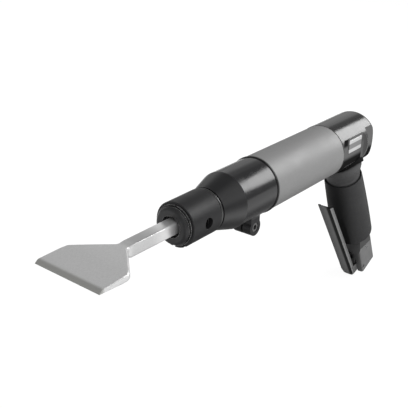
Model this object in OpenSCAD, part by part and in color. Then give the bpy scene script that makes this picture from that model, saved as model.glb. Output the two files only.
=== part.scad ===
// Pneumatic chipping hammer with a lever throttle and a flat chisel.
// X runs along the barrel towards the chisel, Z is up, and the origin lies on
// the barrel axis at the front end of the grey sleeve, beside the dark ring.

/* [Barrel] */
// Length of the grey sleeve that shows
sleeve_len = 137.3; // [132:0.1:150]
// How far the sleeve's diameter exceeds the housing's
sleeve_step = 0.8; // [0.4:0.1:1.6]
// Wall of the sleeve round the floating cylinder
sleeve_wall = 4.7; // [3.6:0.1:4.8]
// Width of the dark ring at the seam
seam_w = 2.4; // [1.6:0.2:4]
// How far the dark ring's diameter exceeds the housing's
seam_step = 2; // [1.6:0.1:3]
// Length of the threaded spigot in front of the sleeve
spigot_len = 33.6; // [30:0.2:38]

/* [Front housing] */
// Outside diameter of the black housing, which the sleeve and the head follow
housing_d = 60.6; // [58.4:0.2:62]
// Length of its cylindrical part
housing_len = 54.6; // [50:0.2:62]
// Length of the flare towards the nose
flare_len = 27.2; // [25:0.2:32]
// Diameter at the small end of the flare
flare_d = 44.6; // [44:0.1:45.4]
// Width of the groove behind the nose
groove_w = 5.2; // [4.2:0.1:6]
// Wire diameter of the ring in that groove
wire_d = 2.8; // [2:0.1:3.2]
// Length of the housing's front spigot inside the nose
nose_spigot_len = 15.8; // [13:0.2:18]

/* [Nose] */
// Outside diameter of the nose
nose_d = 46; // [45.4:0.1:48]
// Length of the nose
nose_len = 43.3; // [41:0.1:48]
// Diameter of the round hole in the nose's side
nose_hole_d = 11.4; // [8:0.2:12.4]
// Distance of that hole's centre from the nose's front
nose_hole_back = 23; // [21.5:0.5:24.5]
// Diameter of the bush's flange in front of the nose
bush_d = 41; // [39:0.2:42]
// How far the bush stands out of the nose
bush_out = 6.5; // [6.3:0.1:10]
// Width of the spanner notches in the nose's rim
notch_w = 3.8; // [2.4:0.2:5]

/* [Chisel] */
// Width across the square shank
shank_w = 12.7; // [11:0.1:13.2]
// Free shank between the bush and the blade
shank_out = 66; // [40:1:110]
// Width of the blade
blade_w = 74.7; // [40:0.1:90]
// Length of the blade from the shank to its edge
blade_len = 67.4; // [55:0.2:110]
// Length of the tapered shoulders
shoulder_len = 32; // [26:1:40]
// Ground bevel along the edge
bevel_len = 3; // [1.5:0.5:8]
// Thickness of the blade at the shoulders' end
blade_t = 8.1; // [6:0.1:10]
// How far the chisel has turned in the play of its bush
chisel_turn = -2.5; // [-3:0.5:3]
// Travel of the chisel between its seat and the buffer
chisel_travel = 12; // [8:0.5:13]

/* [Clamp lug] */
// Radius of the round lug
lug_r = 9.5; // [8.5:0.1:11]
// Length of the lug across the barrel
lug_w = 22; // [21:0.5:30]
// Depth of the screw's axis below the barrel's axis
lug_drop = 42.2; // [41:0.1:45]
// Diameter of the clamp screw
clamp_d = 6; // [5:0.5:6.5]
// Width of the slit that the screw closes
slit_w = 2.4; // [1.4:0.2:3.2]

/* [Percussion] */
// Bore of the cylinder
bore_d = 26; // [22:0.5:28]
// Step from the cylinder's sliding flange down to its barrel
flange_step = 3.6; // [3.3:0.1:4]
// Length of the piston
piston_len = 47; // [40:0.5:52]
// Stroke of the piston
piston_travel = 60; // [50:1:62]
// Travel of the floating cylinder against its spring
damper_travel = 6; // [3:0.5:8]
// Travel of the distributor plate
plate_travel = 2.2; // [1.2:0.1:2.6]

/* [Rear head] */
// How far the rear head's diameter exceeds the housing's
head_step = 1.6; // [0.6:0.1:3]
// Length of the rear head
head_len = 85.5; // [80:0.5:92]
// Radius of the head's rear edge
head_round = 12; // [8:0.5:14]
// How deep the front side flat is cut into the head
flat_cut = 4.9; // [3.6:0.1:5.7]
// How deep the rear side flat is cut into the head
rear_flat_cut = 6.9; // [5.1:0.1:8.1]
// Length of the bare name plate
plate_len = 30; // [22:0.5:34]
// Height of the bare name plate
plate_h = 15.5; // [10:0.5:17]

/* [Handle] */
// Where the handle's axis crosses the barrel's axis, behind the sleeve's front end
handle_back = 177.1; // [174:0.1:182]
// Backward tilt of the handle
handle_tilt = 24.4; // [16:0.2:28]
// Diameter of the neck under the head
neck_top_d = 50; // [46:0.5:51]
// Diameter of the neck at the grip's rim
neck_d = 42.4; // [40:0.2:43]
// Thickness of the gasket under the head
gasket_t = 3.4; // [2:0.1:5]
// How far the gasket stands out round the neck
gasket_out = 2.6; // [0.6:0.2:3]
// Grip diameter at its top rim
grip_top_d = 47.4; // [46.6:0.2:52]
// Grip diameter at its foot
grip_foot_d = 52; // [50:0.2:56]
// How far the grip bulges beyond a straight taper
grip_bulge = 0.7; // [0:0.1:1.5]
// Distance of the grip's rim from the barrel's axis, along the handle
grip_start = 52.8; // [51:0.1:56]
// Length of the grip
grip_len = 104.2; // [100:0.2:116]
// Diameter of the air tube inside the grip
core_d = 32; // [30:0.5:33]

/* [Base] */
// Width of the base block across the handle
base_w = 35; // [33:0.5:40]
// Depth of the base block, front to rear
base_depth = 33.2; // [32:0.2:38]
// Length of the base block below the grip
base_len = 54.7; // [54:0.1:64]
// Radius of the air inlet's threaded hole
inlet_r = 5.9; // [5:0.1:6.2]

/* [Lever] */
// Width of the lever
lever_w = 19.2; // [17:0.2:22]
// Sheet thickness of the lever
lever_t = 2; // [1.2:0.1:2.4]
// Depth of the lever's side flanges
cheek_depth = 4.3; // [3.5:0.1:5.5]
// Length of the lever above its pin
lever_top = 145; // [120:1:148]
// Distance of the lever's face from its pin
lever_off = 14.3; // [13.6:0.1:15]
// Angle between the handle and the released lever
lever_open = 9.4; // [8.6:0.1:11]
// Angle that the lever turns when it is squeezed
lever_travel = 7.5; // [5:0.5:8]
// Diameter of the lever's pin
pin_d = 5; // [4:0.2:6]

/* [Hidden] */
$fn = 64;

// Radial clearance of a running fit
run_gap = 0.06;
// Radial clearance of a threaded or pressed fit
fit_gap = 0.03;
// Space left between a soft piece and its neighbour
soft_gap = 0.3;
// Space for the end of a stroke that isn't used
end_gap = 0.5;
// Excess length of a cutting tool
cut = 1;

// Stations along the barrel axis
sleeve_x = 0;
housing_x = sleeve_x + seam_w;
shoulder_x = housing_x + housing_len;
flare_x = shoulder_x + flare_len;
nose_x = flare_x + groove_w;
nose_front_x = nose_x + nose_len;
bush_front_x = nose_front_x + bush_out;
sleeve_rear_x = sleeve_x - sleeve_len;
head_rear_x = sleeve_rear_x - head_len;

// Edges that are broken, and the bow of the flare
edge_cut = 0.5;
nose_edge = 0.6;
flare_bow = 0.05;

// Radii about the barrel axis
housing_r = housing_d / 2;
sleeve_r = housing_r + sleeve_step / 2;
seam_r = housing_r + seam_step / 2;
sleeve_bore_r = sleeve_r - sleeve_wall;
cylinder_r = sleeve_bore_r - flange_step;
guide_r = cylinder_r + run_gap;
spigot_wall = 2.6;
spigot_r = guide_r + spigot_wall;
head_r = housing_r + head_step / 2;
flat_y = head_r - flat_cut;
rear_flat_y = head_r - rear_flat_cut;
nose_r = nose_d / 2;
bore_r = bore_d / 2;

// Housing's inner steps
seat_r = 15;
seat_lip = 1.8;
seat_lip_r = 11;
seat_back = 20.2;
seat_x = nose_x - seat_back;
seat_len = 24;
seat_front_x = seat_x + seat_len;
nose_spigot_x = nose_x + nose_spigot_len;
nose_wall = 4.7;
nose_spigot_r = nose_r - nose_wall;
groove_r = flare_d / 2 - wire_d;
notch_angles = [-4, 29.5];
notch_len = 3;
notch_depth = 3.2;
sleeve_front_wall = 8;

// Clamp lug, screw and nut
lug_inset = 1.6;
lug_x = housing_x + lug_r;
slit_back = 4;
slit_len = spigot_len - slit_back;
clamp_head_r = clamp_d * 0.83;
clamp_head_sink = 0.5;
clamp_head_z = lug_w / 2 - clamp_d - clamp_head_sink;
hex_r = clamp_d * 0.48;
hex_depth = clamp_d * 0.55;
nut_r = clamp_d * 0.96;
nut_t = clamp_d * 0.8;
nut_sink = 0.6;
clamp_clear = 0.2;
nut_clear = 0.15;

// Chisel
shank_r = shank_w / 2;
collar_r = 12.5;
collar_len = 8;
face_gap = 0.1;
collar_x = seat_front_x + face_gap;
square_play = 0.35;
buffer_t = 4;
buffer_x = collar_x + collar_len + chisel_travel + soft_gap;
bush_shoulder = 1;
bush_r = seat_r + bush_shoulder;
bush_x = buffer_x + buffer_t + soft_gap;
blade_x = bush_front_x + shank_out;
blade_back_x = blade_x + shoulder_len;
edge_x = blade_x + blade_len;
edge_top_z = 4.4;
edge_z = 1.3;
edge_land = 0.4;
corner_r = 5;
ramp_len = 6;
blade_step = 0.1;
blade_root = 1.5;

// Bush round the shank
bush_collar_r = bush_d / 2;
bush_round = 3.6;
bush_groove_out = 1.2;
bush_groove_x = nose_front_x + bush_groove_out;
bush_groove_w = 1.3;
bush_groove_depth = 2.4;
bush_step = 1.3;
bush_mouth_r = 11;
bush_mouth_len = 7;

// Floating cylinder, from its front face to its rear face
buffer_gap = 1.8;
cylinder_x = seat_x - seat_lip - buffer_gap - soft_gap;
small_bore_len = 20;
bore_front_x = cylinder_x - small_bore_len;
strike_out = 4;
strike_x = bore_front_x - strike_out;
piston_x = strike_x - end_gap;
bore_rear_gap = 6;
bore_rear_x = piston_x - piston_len - piston_travel - bore_rear_gap;
box_len = 16;
cap_len = 14;
box_r = 20;
cylinder_rear_x = bore_rear_x - box_len - cap_len;
flange_len = 44;
flange_r = sleeve_bore_r - run_gap;
flange_taper = 2;
port_back = 34;
port_hole_r = 2.4;
piston_groove_w = 2;
piston_groove_depth = 0.9;
piston_nose = 3;
piston_edge = 1.5;
plate_t = 2.6;
plate_r = 12.5;
plate_hole_r = 1;
plate_ring_r = 5.4;
way_r = 1.6;
way_ring_r = 9;
box_hole_r = 4;
cap_hole_r = 2;
cap_recess_r = 5;
plate_room = plate_t + plate_travel + 2 * face_gap;
cap_x = bore_rear_x - box_len;
dowel_r = 1.5;
dowel_ring_r = 16.5;
dowel_half = 6;
dowel_end = 0.2;
seal_r = 1;
seal_half = 1.3;
seal_depth = 2.2;
seal_back = 0.1;
seal_in = 8;
seal_x = cylinder_rear_x + seal_in;
seat_fit_r = seat_r + fit_gap;

// Rear head's inside
spring_wire_r = 1.5;
spring_in = 5.8;
spring_r = sleeve_bore_r - spring_in;
spring_coils = 6;
spring_seat_back = 11.5;
spring_seat_x = sleeve_rear_x - spring_seat_back;
spring_bore_r = spring_r + spring_wire_r + soft_gap;
spigot_room = 22.5;
head_spigot_len = spigot_room - damper_travel;
sleeve_seal_x = sleeve_rear_x + seal_in;
chest_r = 16;
head_wall = 17;
chest_rear_x = head_rear_x + head_wall;
port_r = 14;
runout_r = 9;
flat_back = 7.7;
flat_front_x = sleeve_rear_x - flat_back;
flat_len = 42;
flat_rear_x = flat_front_x - flat_len;
rear_flat_back = 10;
rear_flat_x = flat_rear_x - rear_flat_back;
name_plate_t = 0.8;
name_plate_back = 40.8;
name_plate_x = flat_front_x - name_plate_back;
name_plate_z = 5.8;

// Stations along the handle axis, measured from the barrel axis
core_top_s = 8;
core_spigot_s = 22;
neck_taper_s = 36;
neck_taper_len = 13;
neck_end_in = 9.2;
neck_end_s = grip_start + neck_end_in;
neck_r = neck_d / 2;
core_r = core_d / 2;
grip_end_s = grip_start + grip_len;
grip_round = 7;
rim_round = 1.2;
rim_gap = 1;
ring_wire_r = 0.95;
ring_depth = 1.2;
ring_in = 5.2;
ring_s = grip_start + ring_in;
base_s = grip_end_s + soft_gap;
base_end_s = base_s + base_len;
base_gasket_t = 0.9;
core_end_s = base_s - base_gasket_t;
air_r = 7;
base_spigot_r = 10;
base_spigot_len = 15;
gasket_in_r = base_spigot_r + soft_gap;
base_front_u = base_depth / 2;
base_rear_u = -base_depth / 2;
base_corner = 3.2;
bevel_start = 4.4;
bevel_start_s = base_s + bevel_start;
bevel_drop = 14.8;
bevel_end_s = bevel_start_s + bevel_drop;
bevel_u = 6.9;
side_bevel_down = 16.5;
side_bevel_s = base_s + side_bevel_down;
side_bevel_len = 26;
side_bevel_in = 4.7;
side_bevel_tilt = -15;

// Lever and its pin
pivot_up = 8;
pivot_s = base_end_s - pivot_up;
pivot_u = 12.5;
pin_r = pin_d / 2;
ear_r = 4.6;
ear_gap = 0.4;
ear_top_z = 12;
ear_back = 0.7;
lever_closed = lever_open - lever_travel;
curl_r = 5;
curl_z = -6.8;
foot_round = 7;
curl_angle = 80;
lever_edge_r = 2;
groove_gap = 0.6;
lever_inner_round = 0.6;

// Throttle valve, across the base block
valve_down = 26.2;
valve_s = base_s + valve_down;
chamber_r = 7.2;
outlet_r = 5;
stem_r = 3;
seat_bore_r = 4.6;
seat_front_u = 0.5;
seat_t = 2.5;
valve_head_r = 6.2;
valve_head_t = 3;
head_u = seat_front_u - seat_t - face_gap;
guide_u = 7;
guide_out_r = 5.6;
guide_flange_r = 6.8;
guide_flange_t = 1.6;
plug_len = 4;
plug_hex_r = 3.5;
plug_seal_r = 0.75;
plug_groove_back = 1;
plug_groove_w = 1.6;
plug_u = base_rear_u + plug_len;
throttle_wire_r = 0.45;
throttle_coil_r = 4.4;
throttle_coils = 3;
valve_reach = pivot_s - valve_s;
tip_u = lever_face_u(lever_open) - soft_gap;
outlet_u = 4.2;
outlet_hole_r = 3.4;
inlet_u = -5;
inlet_out_r = 9;
inlet_len = 12.4;
strainer_r = 6.4;
strainer_len = 8;
strainer_wall = 0.8;
inlet_hole_r = 4;
mesh_hole_r = 0.8;
mesh_ring_r = 2.2;

// Inner face of the lever where the valve's stem meets it, across the handle
function lever_face_u(angle) =
    pivot_u + (lever_off - lever_t) / cos(angle) + valve_reach * tan(angle);

// A solid turned about the barrel axis, from points [x, radius]
module turned(points) {
    rotate([0, 90, 0])
        rotate_extrude()
            polygon([for (p = points) [p[1], p[0]]]);
}

// A plain cylinder on the barrel axis
module rod(x0, x1, r) {
    translate([x0, 0, 0])
        rotate([0, 90, 0])
            cylinder(r = r, h = x1 - x0);
}

// A round ring about the barrel axis
module round_ring(x, ring_r, wire_r) {
    translate([x, 0, 0])
        rotate([0, 90, 0])
            rotate_extrude()
                translate([ring_r, 0])
                    circle(r = wire_r);
}

// The handle's own frame: +X forward across it, -Z down along it
module in_handle() {
    translate([-handle_back, 0, 0])
        rotate([0, handle_tilt, 0])
            children();
}

// A plain cylinder along the handle axis, between two stations
module post(s0, s1, r, u = 0) {
    translate([u, 0, -s1])
        cylinder(r = r, h = s1 - s0);
}

// A solid turned about the handle axis, from points [station, radius]
module turned_post(points) {
    rotate_extrude()
        polygon([for (p = points) [p[1], -p[0]]]);
}

// A plain cylinder across the handle, front to rear, at the valve
module cross_rod(u0, u1, r) {
    translate([u0, 0, -valve_s])
        rotate([0, 90, 0])
            cylinder(r = r, h = u1 - u0);
}

// The lever's own frame, with its pin at the origin
module in_lever(angle) {
    in_handle()
        translate([pivot_u, 0, -pivot_s])
            rotate([0, angle, 0])
                children();
}

// Points of an arc about [cx, cy]
function arc(cx, cy, r, a0, a1, n = 8) =
    [for (i = [0:n]) [cx + r * cos(a0 + (a1 - a0) * i / n), cy + r * sin(a0 + (a1 - a0) * i / n)]];

// Ring centres of a coil about Z, with eight rings to a turn
coil_steps = 8;
function coil_path(coil_r, wire_r, len, turns) =
    let (n = turns * coil_steps, rise = len - 2 * wire_r)
        [for (i = [0:n]) [coil_r * cos(i * 360 / coil_steps), coil_r * sin(i * 360 / coil_steps),
            wire_r + rise * i / n]];

// Least distance between the surfaces of neighbouring turns
function coil_gap(path, wire_r) =
    min([for (i = [0:len(path) - coil_steps + 1]) min([for (j = [i + coil_steps - 2:len(path) - 1])
        norm(path[j] - path[i])])]) - 2 * wire_r;

// One unbroken tube along a coil about Z
coil_sides = 6;
module coil(coil_r, wire_r, len, turns) {
    path = coil_path(coil_r, wire_r, len, turns);
    last = len(path) - 1;
    points = [for (i = [0:last]) for (k = [0:coil_sides - 1])
        let (turn = i * 360 / coil_steps, side = k * 360 / coil_sides)
            [(coil_r + wire_r * cos(side)) * cos(turn), (coil_r + wire_r * cos(side)) * sin(turn),
                path[i][2] + wire_r * sin(side)]];
    sides = [for (i = [0:last - 1]) for (k = [0:coil_sides - 1])
        let (a = i * coil_sides + k, b = i * coil_sides + (k + 1) % coil_sides)
            each [[a, a + coil_sides, b], [b, a + coil_sides, b + coil_sides]]];
    start_cap = [for (k = [1:coil_sides - 2]) [0, k, k + 1]];
    end_cap = [for (k = [1:coil_sides - 2])
        [last * coil_sides, last * coil_sides + k + 1, last * coil_sides + k]];
    echo(least_gap = coil_gap(path, wire_r));
    polyhedron(points = points, faces = concat(sides, start_cap, end_cap));
}

// A rectangle with round corners, centred on the origin
module round_rect(w, h, r) {
    square([w - 2 * r, h], center = true);
    square([w, h - 2 * r], center = true);
    for (x = [-1, 1])
        for (y = [-1, 1])
            translate([x * (w / 2 - r), y * (h / 2 - r)])
                circle(r = r);
}

// Flat blade seen from above
module blade_outline() {
    turn = atan((blade_w / 2 - shank_r) / shoulder_len);
    back = corner_r * tan(turn / 2);
    half = concat([[blade_x - ramp_len - cut, shank_r], [blade_x, shank_r]],
        arc(blade_back_x + back, blade_w / 2 - corner_r, corner_r, 90 + turn, 90, 6),
        [[edge_x, blade_w / 2]]);
    polygon(concat(half, [for (i = [len(half) - 1:-1:0]) [half[i][0], -half[i][1]]]));
}

// Flat blade seen from its side
module blade_side() {
    back_z = shank_r - blade_step;
    start_x = blade_x - ramp_len;
    polygon([[start_x - cut, -shank_r], [start_x - cut, shank_r], [blade_x, shank_r], [blade_back_x, back_z],
        [edge_x - bevel_len, edge_top_z], [edge_x, edge_z], [edge_x, edge_z - edge_land],
        [blade_back_x, back_z - blade_t], [blade_x, blade_root - shank_r], [start_x, -shank_r]]);
}

module chisel() {
    shank_x = collar_x + collar_len - cut;
    color("gainsboro")
        rotate([chisel_turn, 0, 0]) {
            rod(strike_x, collar_x + cut, shank_r);
            rod(collar_x, collar_x + collar_len, collar_r);
            translate([shank_x, -shank_r, -shank_r])
                cube([blade_x - ramp_len - shank_x, shank_w, shank_w]);
            intersection() {
                translate([0, 0, -shank_w])
                    linear_extrude(height = 2 * shank_w)
                        blade_outline();
                rotate([90, 0, 0])
                    linear_extrude(height = blade_w + 2 * cut, center = true)
                        blade_side();
            }
        }
}

module nose_cap() {
    inner_x = nose_spigot_x + soft_gap;
    inner_r = bush_r + fit_gap;
    spigot_fit_r = nose_spigot_r + fit_gap;
    color("#202124")
        difference() {
            turned([[nose_x, spigot_fit_r], [nose_x, nose_r - edge_cut], [nose_x + edge_cut, nose_r],
                [nose_front_x - nose_edge, nose_r], [nose_front_x, nose_r - nose_edge],
                [nose_front_x, inner_r], [inner_x, inner_r], [inner_x, spigot_fit_r]]);
            translate([nose_front_x - nose_hole_back, 0, 0])
                rotate([-90, 0, 0])
                    cylinder(r = nose_hole_d / 2, h = nose_r + cut);
            for (a = notch_angles)
                rotate([a, 0, 0])
                    translate([nose_front_x - notch_len, -notch_w / 2, -nose_r - cut])
                        cube([notch_len + cut, notch_w, notch_depth + cut]);
        }
}

module shank_bush() {
    flange_x = nose_front_x + face_gap;
    groove_end_x = bush_groove_x + bush_groove_w;
    groove_r = bush_collar_r - bush_groove_depth;
    lip_r = bush_collar_r - bush_step - bush_round;
    hole = shank_w + 2 * square_play;
    color("#34363a")
        difference() {
            turned(concat([[bush_x, 0], [bush_x, bush_r], [flange_x, bush_r], [flange_x, bush_collar_r],
                [bush_groove_x, bush_collar_r], [bush_groove_x, groove_r], [groove_end_x, groove_r]],
                arc(bush_front_x - bush_round, lip_r, bush_round, 90, 0, 6),
                [[bush_front_x, 0]]));
            rod(bush_front_x - bush_mouth_len, bush_front_x + cut, bush_mouth_r);
            translate([bush_x - cut, -hole / 2, -hole / 2])
                cube([bush_front_x - bush_x + cut, hole, hole]);
        }
}

module chisel_buffer() {
    inner = shank_r * sqrt(2) + 2 * soft_gap;
    color("#7a4a22")
        difference() {
            rod(buffer_x, buffer_x + buffer_t, bush_r - soft_gap);
            rod(buffer_x - cut, buffer_x + buffer_t + cut, inner);
        }
}

module wire_ring() {
    color("silver")
        round_ring(flare_x + groove_w / 2, groove_r + wire_d / 2 + fit_gap, wire_d / 2);
}

// Flare from the housing's shoulder to the groove, as [x, radius]
function flare_points(n) =
    [for (i = [0:n]) let (t = i / n)
        [shoulder_x + flare_len * t,
            (housing_d - (housing_d - flare_d) * t * (1 - flare_bow + flare_bow * t)) / 2]];

module front_housing() {
    web = lug_r - lug_inset;
    rear_bore_x = sleeve_x + spigot_len + soft_gap;
    lug_y = lug_w / 2;
    color("#101113")
        difference() {
            union() {
                turned(concat([[housing_x, 0], [housing_x, housing_r - edge_cut],
                    [housing_x + edge_cut, housing_r]], flare_points(8),
                    [[flare_x, groove_r], [nose_x, groove_r], [nose_x, nose_spigot_r],
                    [nose_spigot_x, nose_spigot_r], [nose_spigot_x, 0]]));
                clamp_axis()
                    cylinder(r = lug_r, h = lug_w, center = true);
                translate([lug_x - web, -lug_y, -lug_drop])
                    cube([2 * web, lug_w, lug_drop]);
            }
            rod(housing_x - cut, rear_bore_x, spigot_r + fit_gap);
            rod(rear_bore_x - cut, seat_x - seat_lip, guide_r);
            rod(seat_x - seat_lip - cut, seat_x + cut, seat_lip_r);
            rod(seat_x, nose_spigot_x + cut, seat_fit_r);
            translate([housing_x - cut, -slit_w / 2, -lug_drop - lug_r - cut])
                cube([slit_len, slit_w, lug_drop + lug_r - guide_r + 2 * cut]);
            clamp_axis() {
                cylinder(r = clamp_d / 2 + clamp_clear, h = lug_w + 2 * cut, center = true);
                translate([0, 0, clamp_head_z])
                    cylinder(r = clamp_head_r + clamp_clear, h = lug_w);
                translate([0, 0, nut_sink + nut_t - lug_y - lug_w])
                    cylinder(r = nut_r + nut_clear, h = lug_w, $fn = 6);
            }
        }
}

// The clamp screw's axis, with Z along +Y
module clamp_axis() {
    translate([lug_x, 0, -lug_drop])
        rotate([-90, 0, 0])
            children();
}

module clamp_screw() {
    head_z = clamp_head_z + fit_gap;
    foot_z = nut_sink - lug_w / 2;
    color("#55585c")
        clamp_axis()
            difference() {
                union() {
                    translate([0, 0, foot_z])
                        cylinder(r = clamp_d / 2, h = head_z - foot_z + cut);
                    translate([0, 0, head_z])
                        cylinder(r = clamp_head_r, h = clamp_d);
                }
                translate([0, 0, head_z + clamp_d - hex_depth])
                    cylinder(r = hex_r, h = clamp_d, $fn = 6);
            }
}

module clamp_nut() {
    color("#55585c")
        clamp_axis()
            translate([0, 0, nut_sink - lug_w / 2 - fit_gap])
                difference() {
                    cylinder(r = nut_r, h = nut_t, $fn = 6);
                    translate([0, 0, -cut])
                        cylinder(r = clamp_d / 2 + fit_gap, h = nut_t + 2 * cut);
                }
}

module seam_ring() {
    rear_x = sleeve_x + fit_gap;
    front_x = housing_x - fit_gap;
    inner = spigot_r + fit_gap;
    color("#26272a")
        turned([[rear_x, inner], [rear_x, seam_r - edge_cut], [rear_x + edge_cut, seam_r],
            [front_x - edge_cut, seam_r], [front_x, seam_r - edge_cut], [front_x, inner]]);
}

module outer_sleeve() {
    rear_x = sleeve_rear_x + fit_gap;
    spigot_x = sleeve_x + spigot_len;
    wall_x = sleeve_x - sleeve_front_wall;
    color("#9a9ca0")
        turned([[rear_x, sleeve_bore_r], [rear_x, sleeve_r - edge_cut], [rear_x + edge_cut, sleeve_r],
            [sleeve_x - edge_cut, sleeve_r], [sleeve_x, sleeve_r - edge_cut], [sleeve_x, spigot_r],
            [spigot_x - edge_cut, spigot_r], [spigot_x, spigot_r - edge_cut], [spigot_x, guide_r],
            [wall_x, guide_r], [wall_x, sleeve_bore_r]]);
}

module front_buffer() {
    rear_x = cylinder_x + soft_gap;
    outer = cylinder_r - soft_gap;
    color("#7a4a22")
        difference() {
            rod(rear_x, rear_x + buffer_gap, outer);
            rod(rear_x - cut, rear_x + buffer_gap + cut, seat_lip_r);
        }
}

module front_seat() {
    color("#8d9094")
        difference() {
            rod(seat_x + fit_gap, seat_front_x, seat_r);
            rod(seat_x - cut, seat_front_x + cut, shank_r + run_gap);
        }
}

// A groove turned into a surface of the given radius
module seal_groove(x, half, floor_r, outer) {
    turned([[x - half, floor_r], [x - half, outer + cut], [x + half, outer + cut], [x + half, floor_r]]);
}

// The floating cylinder, which holds the piston and the distributor
module impact_cylinder() {
    taper_x = cylinder_rear_x + flange_len;
    nose_bore_r = shank_r + 2 * run_gap;
    box_bore_r = box_r + fit_gap;
    color("#8d9094")
        difference() {
            turned([[cylinder_rear_x, box_bore_r], [cylinder_rear_x, flange_r - edge_cut],
                [cylinder_rear_x + edge_cut, flange_r], [taper_x, flange_r],
                [taper_x + flange_taper, cylinder_r],
                [cylinder_x - edge_cut, cylinder_r], [cylinder_x, cylinder_r - edge_cut],
                [cylinder_x, nose_bore_r], [bore_front_x, nose_bore_r], [bore_front_x, bore_r],
                [bore_rear_x, bore_r], [bore_rear_x, box_bore_r]]);
            seal_groove(seal_x, seal_half, flange_r - seal_depth, flange_r);
            for (a = [0:60:300])
                rotate([a, 0, 0])
                    translate([bore_front_x - port_back, 0, 0])
                        cylinder(r = port_hole_r, h = cylinder_r + cut);
        }
}

module cylinder_seal() {
    color("#18181a")
        round_ring(seal_x, flange_r - seal_r - seal_back, seal_r);
}

module piston() {
    rear_x = piston_x - piston_len;
    r = bore_r - run_gap;
    color("#b9bcc0")
        difference() {
            turned([[rear_x, 0], [rear_x, r - piston_edge], [rear_x + piston_edge, r],
                [piston_x - piston_nose, r], [piston_x, r - piston_nose], [piston_x, 0]]);
            for (i = [1:3])
                seal_groove(rear_x + i * piston_len / 4, piston_groove_w / 2, r - piston_groove_depth, r);
        }
}

// Copies spaced evenly round the barrel axis
module around(count, radius) {
    for (i = [0:count - 1])
        rotate([i * 360 / count, 0, 0])
            translate([0, 0, radius])
                children();
}

module dowels(half, r) {
    around(2, dowel_ring_r)
        rod(cap_x - half, cap_x + half, r);
}

module valve_box() {
    color("#a3873f")
        difference() {
            rod(cap_x, bore_rear_x, box_r);
            rod(cap_x - cut, cap_x + plate_room, plate_r + run_gap);
            rod(cap_x, bore_rear_x + cut, box_hole_r);
            around(6, way_ring_r)
                rod(cap_x, bore_rear_x + cut, way_r);
            dowels(dowel_half, dowel_r + fit_gap);
        }
}

module valve_plate() {
    front_x = cap_x + plate_room - face_gap;
    color("#c9ccd0")
        difference() {
            rod(front_x - plate_t, front_x, plate_r);
            around(6, plate_ring_r)
                rod(front_x - plate_t - cut, front_x + cut, plate_hole_r);
        }
}

module valve_cap() {
    color("#a3873f")
        difference() {
            rod(cylinder_rear_x, cap_x - fit_gap, box_r);
            around(6, way_ring_r)
                rod(cylinder_rear_x - cut, cap_x + cut, cap_hole_r);
            rod(cylinder_rear_x - cut, cylinder_rear_x + cap_len / 2, cap_recess_r);
            dowels(dowel_half, dowel_r + fit_gap);
        }
}

module valve_dowels() {
    color("#8d9094")
        dowels(dowel_half - dowel_end, dowel_r);
}

module damping_spring() {
    color("#6f7276")
        translate([spring_seat_x + soft_gap, 0, 0])
            rotate([0, 90, 0])
                coil(spring_r, spring_wire_r, cylinder_rear_x - spring_seat_x - 2 * soft_gap, spring_coils);
}

module sleeve_seal() {
    color("#18181a")
        round_ring(sleeve_seal_x, sleeve_bore_r - seal_r - seal_back, seal_r);
}

// Outer form of the rear head, grown by a margin
module head_form(margin) {
    rotate([0, 90, 0])
        rotate_extrude() {
            translate([0, head_rear_x + head_round])
                square([head_r + margin, head_len - head_round]);
            translate([0, head_rear_x - margin])
                square([head_r - head_round, head_len]);
            translate([head_r - head_round, head_rear_x + head_round])
                intersection() {
                    circle(r = head_round + margin);
                    translate([0, -2 * head_round])
                        square([2 * head_round, 2 * head_round]);
                }
        }
}

module rear_head() {
    wide = 2 * head_r;
    color("#b4b7ba")
        difference() {
            union() {
                head_form(0);
                rod(sleeve_rear_x - cut, sleeve_rear_x + head_spigot_len, sleeve_bore_r - fit_gap);
            }
            rod(spring_seat_x, sleeve_rear_x + head_spigot_len + cut, spring_bore_r);
            rod(chest_rear_x, spring_seat_x + cut, chest_r);
            in_handle()
                post(0, grip_start, port_r);
            seal_groove(sleeve_seal_x, seal_half, sleeve_bore_r - seal_depth, sleeve_bore_r);
            translate([flat_rear_x, flat_y, -head_r])
                cube([flat_front_x - flat_rear_x, head_r, wide]);
            for (x = [flat_rear_x, flat_front_x])
                translate([x, flat_y + runout_r, -head_r])
                    cylinder(r = runout_r, h = wide);
            translate([head_rear_x - cut, rear_flat_y, -head_r])
                cube([rear_flat_x - head_rear_x + cut, head_r, wide]);
        }
}

module name_plate() {
    color("#dfe1e3")
        translate([name_plate_x, flat_y + fit_gap, name_plate_z - plate_h / 2])
            cube([plate_len, name_plate_t, plate_h]);
}

module neck_gasket() {
    color("#0e0e0f")
        difference() {
            intersection() {
                in_handle()
                    post(core_top_s, grip_start, neck_top_d / 2 + gasket_out);
                difference() {
                    head_form(gasket_t);
                    head_form(fit_gap);
                }
            }
            in_handle()
                post(0, grip_start, port_r + fit_gap);
        }
}

module handle_core() {
    neck_foot_s = neck_taper_s + neck_taper_len;
    color("#2b2c2e")
        difference() {
            union() {
                difference() {
                    in_handle()
                        turned_post([[core_top_s, 0], [core_top_s, neck_top_d / 2],
                            [neck_taper_s, neck_top_d / 2], [neck_foot_s, neck_r],
                            [ring_s - ring_wire_r, neck_r], [ring_s - ring_wire_r, neck_r - ring_depth],
                            [ring_s + ring_wire_r, neck_r - ring_depth], [ring_s + ring_wire_r, neck_r],
                            [neck_end_s, neck_r], [neck_end_s, core_r], [core_end_s, core_r],
                            [core_end_s, 0]]);
                    head_form(gasket_t + fit_gap);
                }
                in_handle()
                    post(core_spigot_s, grip_start, port_r - fit_gap);
            }
            in_handle()
                post(0, core_end_s, air_r);
            in_handle()
                post(core_end_s - base_spigot_len - cut, core_end_s + cut, base_spigot_r + fit_gap);
        }
}

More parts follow.
